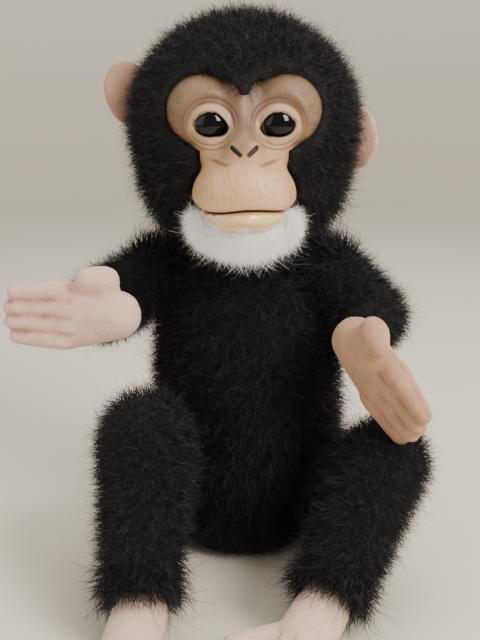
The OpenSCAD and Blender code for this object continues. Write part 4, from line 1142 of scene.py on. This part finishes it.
# The left hand is a darker tan than the right: painted shade for the same cloth in shadow.
velboa_piece("left_hand_velboa", ("left_hand",), "left_hand", joint_at("left_wrist"),
             local_frame(LEFT_FINGERS, LEFT_PALM), HAND_LINES, 0.3, 1.2, 0, (184, 141, 112))
FOOT_LINES = [((30, k * 8), (58, k * 8)) for k in (-1, 0, 1)]
for name, way in (("right", (-0.14, -0.99, 0)), ("left", (-0.5, -0.87, 0))):
    velboa_piece(name + "_foot_velboa", (name + "_foot",), name + "_foot", joint_at(name + "_ankle"),
                 local_frame(way, (0, 0, 1)), FOOT_LINES, 1.3, 1.0, -4, (216, 184, 166))
# The right ear's colour is darker than the left's: painted shade for the same cloth in shadow.
for side, name, ear_shade in ((-1, "right", (170, 132, 112)), (1, "left", (206, 168, 150))):
    velboa_piece(name + "_ear_velboa", (name + "_ear",), "head", box_centre(name + "_ear"),
                 local_frame((0, 0, 1), (side * 0.2, -1, 0)), (), 0.1, 0.1, 0, ear_shade, 0.9)

# ---- The lower lip and the beard ----
# A glossy vinyl lip on the jaw, over a beard of fine white plush that wraps the
# chin and both ends of the mouth.
beard_skin = form_of("beard", ("chin_fur", "lower_lip"), 1.6 * MM, 5)
beard_at = points_of(beard_skin)
beard_local = beard_at / MM - NECK / MM
under_lip = (np.abs(beard_local[:, 0]) < 23) & (beard_local[:, 1] < -36)
tucked = ramp(beard_local[:, 2], 12, 16) * np.where(under_lip, 1.0, 0.0)
set_points(beard_skin, beard_at - normals_of(beard_skin) * (3.2 * MM * tucked)[:, None])
beard_cover = ramp(-beard_local[:, 2], -22.0, -20.0) * ramp(-beard_local[:, 1], 26, 30)
beard_cover *= 1 - ramp(tucked, 0.5, 0.8)
beard_pile = (7.5 - 3.2 * ramp(beard_local[:, 2], 4, 13) * np.where(under_lip, 1.0, 0.0)) * MM
beard_pile -= 3.0 * MM * ramp(np.abs(beard_local[:, 0]), 23, 30)
beard_comb = np.tile((0.0, -0.1, -0.45), (len(beard_at), 1))
beard_comb[:, 0] = -0.012 * beard_local[:, 0]
white_knit, white_knit_tree, white_knit_shader = new_material("white_knit", 0.95, sheen=0.2)
mottle(white_knit_tree, white_knit_shader, 900, 0.15, 0.0004, colour=(0.86, 0.84, 0.8))
fur_piece("beard", beard_skin, "jaw", "white_fur", WHITE_COAT, white_knit, ("chin_fur",),
          beard_pile, beard_comb, beard_cover, 91, 4.5e6)


def lip_surface(p):
    """Distance to the lower lip's skin from points p, measured from the neck ball's centre."""
    q = p.copy()
    q[..., 0] = np.abs(p[..., 0])
    corners = ellipsoid(q, (9, -43.5, 21), (13.0, 22.0, 7.5))
    form = join(corners, ellipsoid(q, (0, -49, 21), (13, 22.5, 7.5)), 8)
    top = mouth_line(p[..., 0]) - 0.5 - p[..., 2]
    return -join(-form, top, 2.2)


LIP_CENTRE = np.array([0.0, -36.0, 18.0])
LIP_TURNS = np.linspace(-1.45, 1.45, 120)
LIP_RISES = np.linspace(-0.5, 1.1, 70)
lip_turn, lip_rise = np.meshgrid(LIP_TURNS, LIP_RISES)
lip_rays = np.stack([np.sin(lip_turn) * np.cos(lip_rise), -np.cos(lip_turn) * np.cos(lip_rise),
                     np.sin(lip_rise)], axis=-1).reshape(-1, 3)
lip_far = reach(lip_rays, LIP_CENTRE, lip_surface, 2, 45)
lip_at = LIP_CENTRE + lip_rays * lip_far[:, None]
lip_keep = lip_at[:, 1] < -38
lip_mesh, lip_used = grid_mesh("lower_lip", lip_at + NECK / MM, len(LIP_RISES), len(LIP_TURNS), lip_keep)
lip_x, lip_z = lip_at[lip_used][:, 0], lip_at[lip_used][:, 2]
lip_paint = np.tile(linear(246, 204, 144), (len(lip_used), 1))
lip_paint = wash(lip_paint, linear(176, 116, 82), 0.7 * ramp(lip_z - mouth_line(lip_x), -2.6, -0.6))
lip_paint = wash(lip_paint, linear(190, 140, 104), 0.4 * ramp(np.abs(lip_x), 14, 21))
paint_points(lip_mesh, "paint", lip_paint)
lip_vinyl, lip_tree, lip_shader = new_material("lip_vinyl", 0.24, coat=0.5)
lip_shader.inputs["Coat Roughness"].default_value = 0.12
lip_shader.inputs["Subsurface Weight"].default_value = 0.12
lip_shader.inputs["Subsurface Radius"].default_value = (0.004, 0.0018, 0.001)
lip_shader.inputs["Subsurface Scale"].default_value = 0.5
mottle(lip_tree, lip_shader, 700, 0.05, 0.0001, attribute="paint")
place_piece("lower_lip_skin", thicken(lip_mesh, 1.6 * MM), lip_vinyl, "lip_vinyl", "jaw", "lower_lip")

# ---- The parts inside ----
# The neck joint, the head's shell with its gear train, and the battery box. They
# are hidden at rest, and show where a hair gap, the flap or the jaw opens.
INSIDE = {
    "grey_plastic": (0.055, (0.045, 0.045, 0.05), 0.5, 500),
    "ivory_plastic": (0.05, (0.62, 0.58, 0.46), 0.42, 400),
    "white_plastic": (0.04, (0.72, 0.72, 0.69), 0.38, 400),
    "steel": (0.10, (0.55, 0.55, 0.54), 0.30, 900),
    "board": (0.15, (0.02, 0.12, 0.05), 0.45, 1200),
    "speaker_black": (0.08, (0.02, 0.02, 0.022), 0.6, 800),
    "wire": (0.05, (0.35, 0.02, 0.02), 0.45, 600),
    "brass": (0.10, (0.60, 0.40, 0.13), 0.28, 900),
    "hook_and_loop": (0.35, (0.02, 0.02, 0.02), 0.9, 1500),
    "stuffing": (0.10, (0.75, 0.74, 0.70), 0.95, 300),
}
inside_materials = {}
for slot_name, (relief, tone, roughness, size) in INSIDE.items():
    made, made_tree, made_shader = new_material(slot_name, roughness)
    made_shader.inputs["Metallic"].default_value = 1.0 if slot_name in ("steel", "brass") else 0.0
    mottle(made_tree, made_shader, size, 0.5 * relief + 0.05, relief * MM, colour=tone)
    inside_materials[slot_name] = made
for part in frame["record"]["subparts"]:
    solid = frame["nodes"][part["node"]]
    if solid.hide_render or part["material_slot"] not in inside_materials:
        continue
    for place in solid.material_slots:
        place.material = inside_materials[part["material_slot"]]
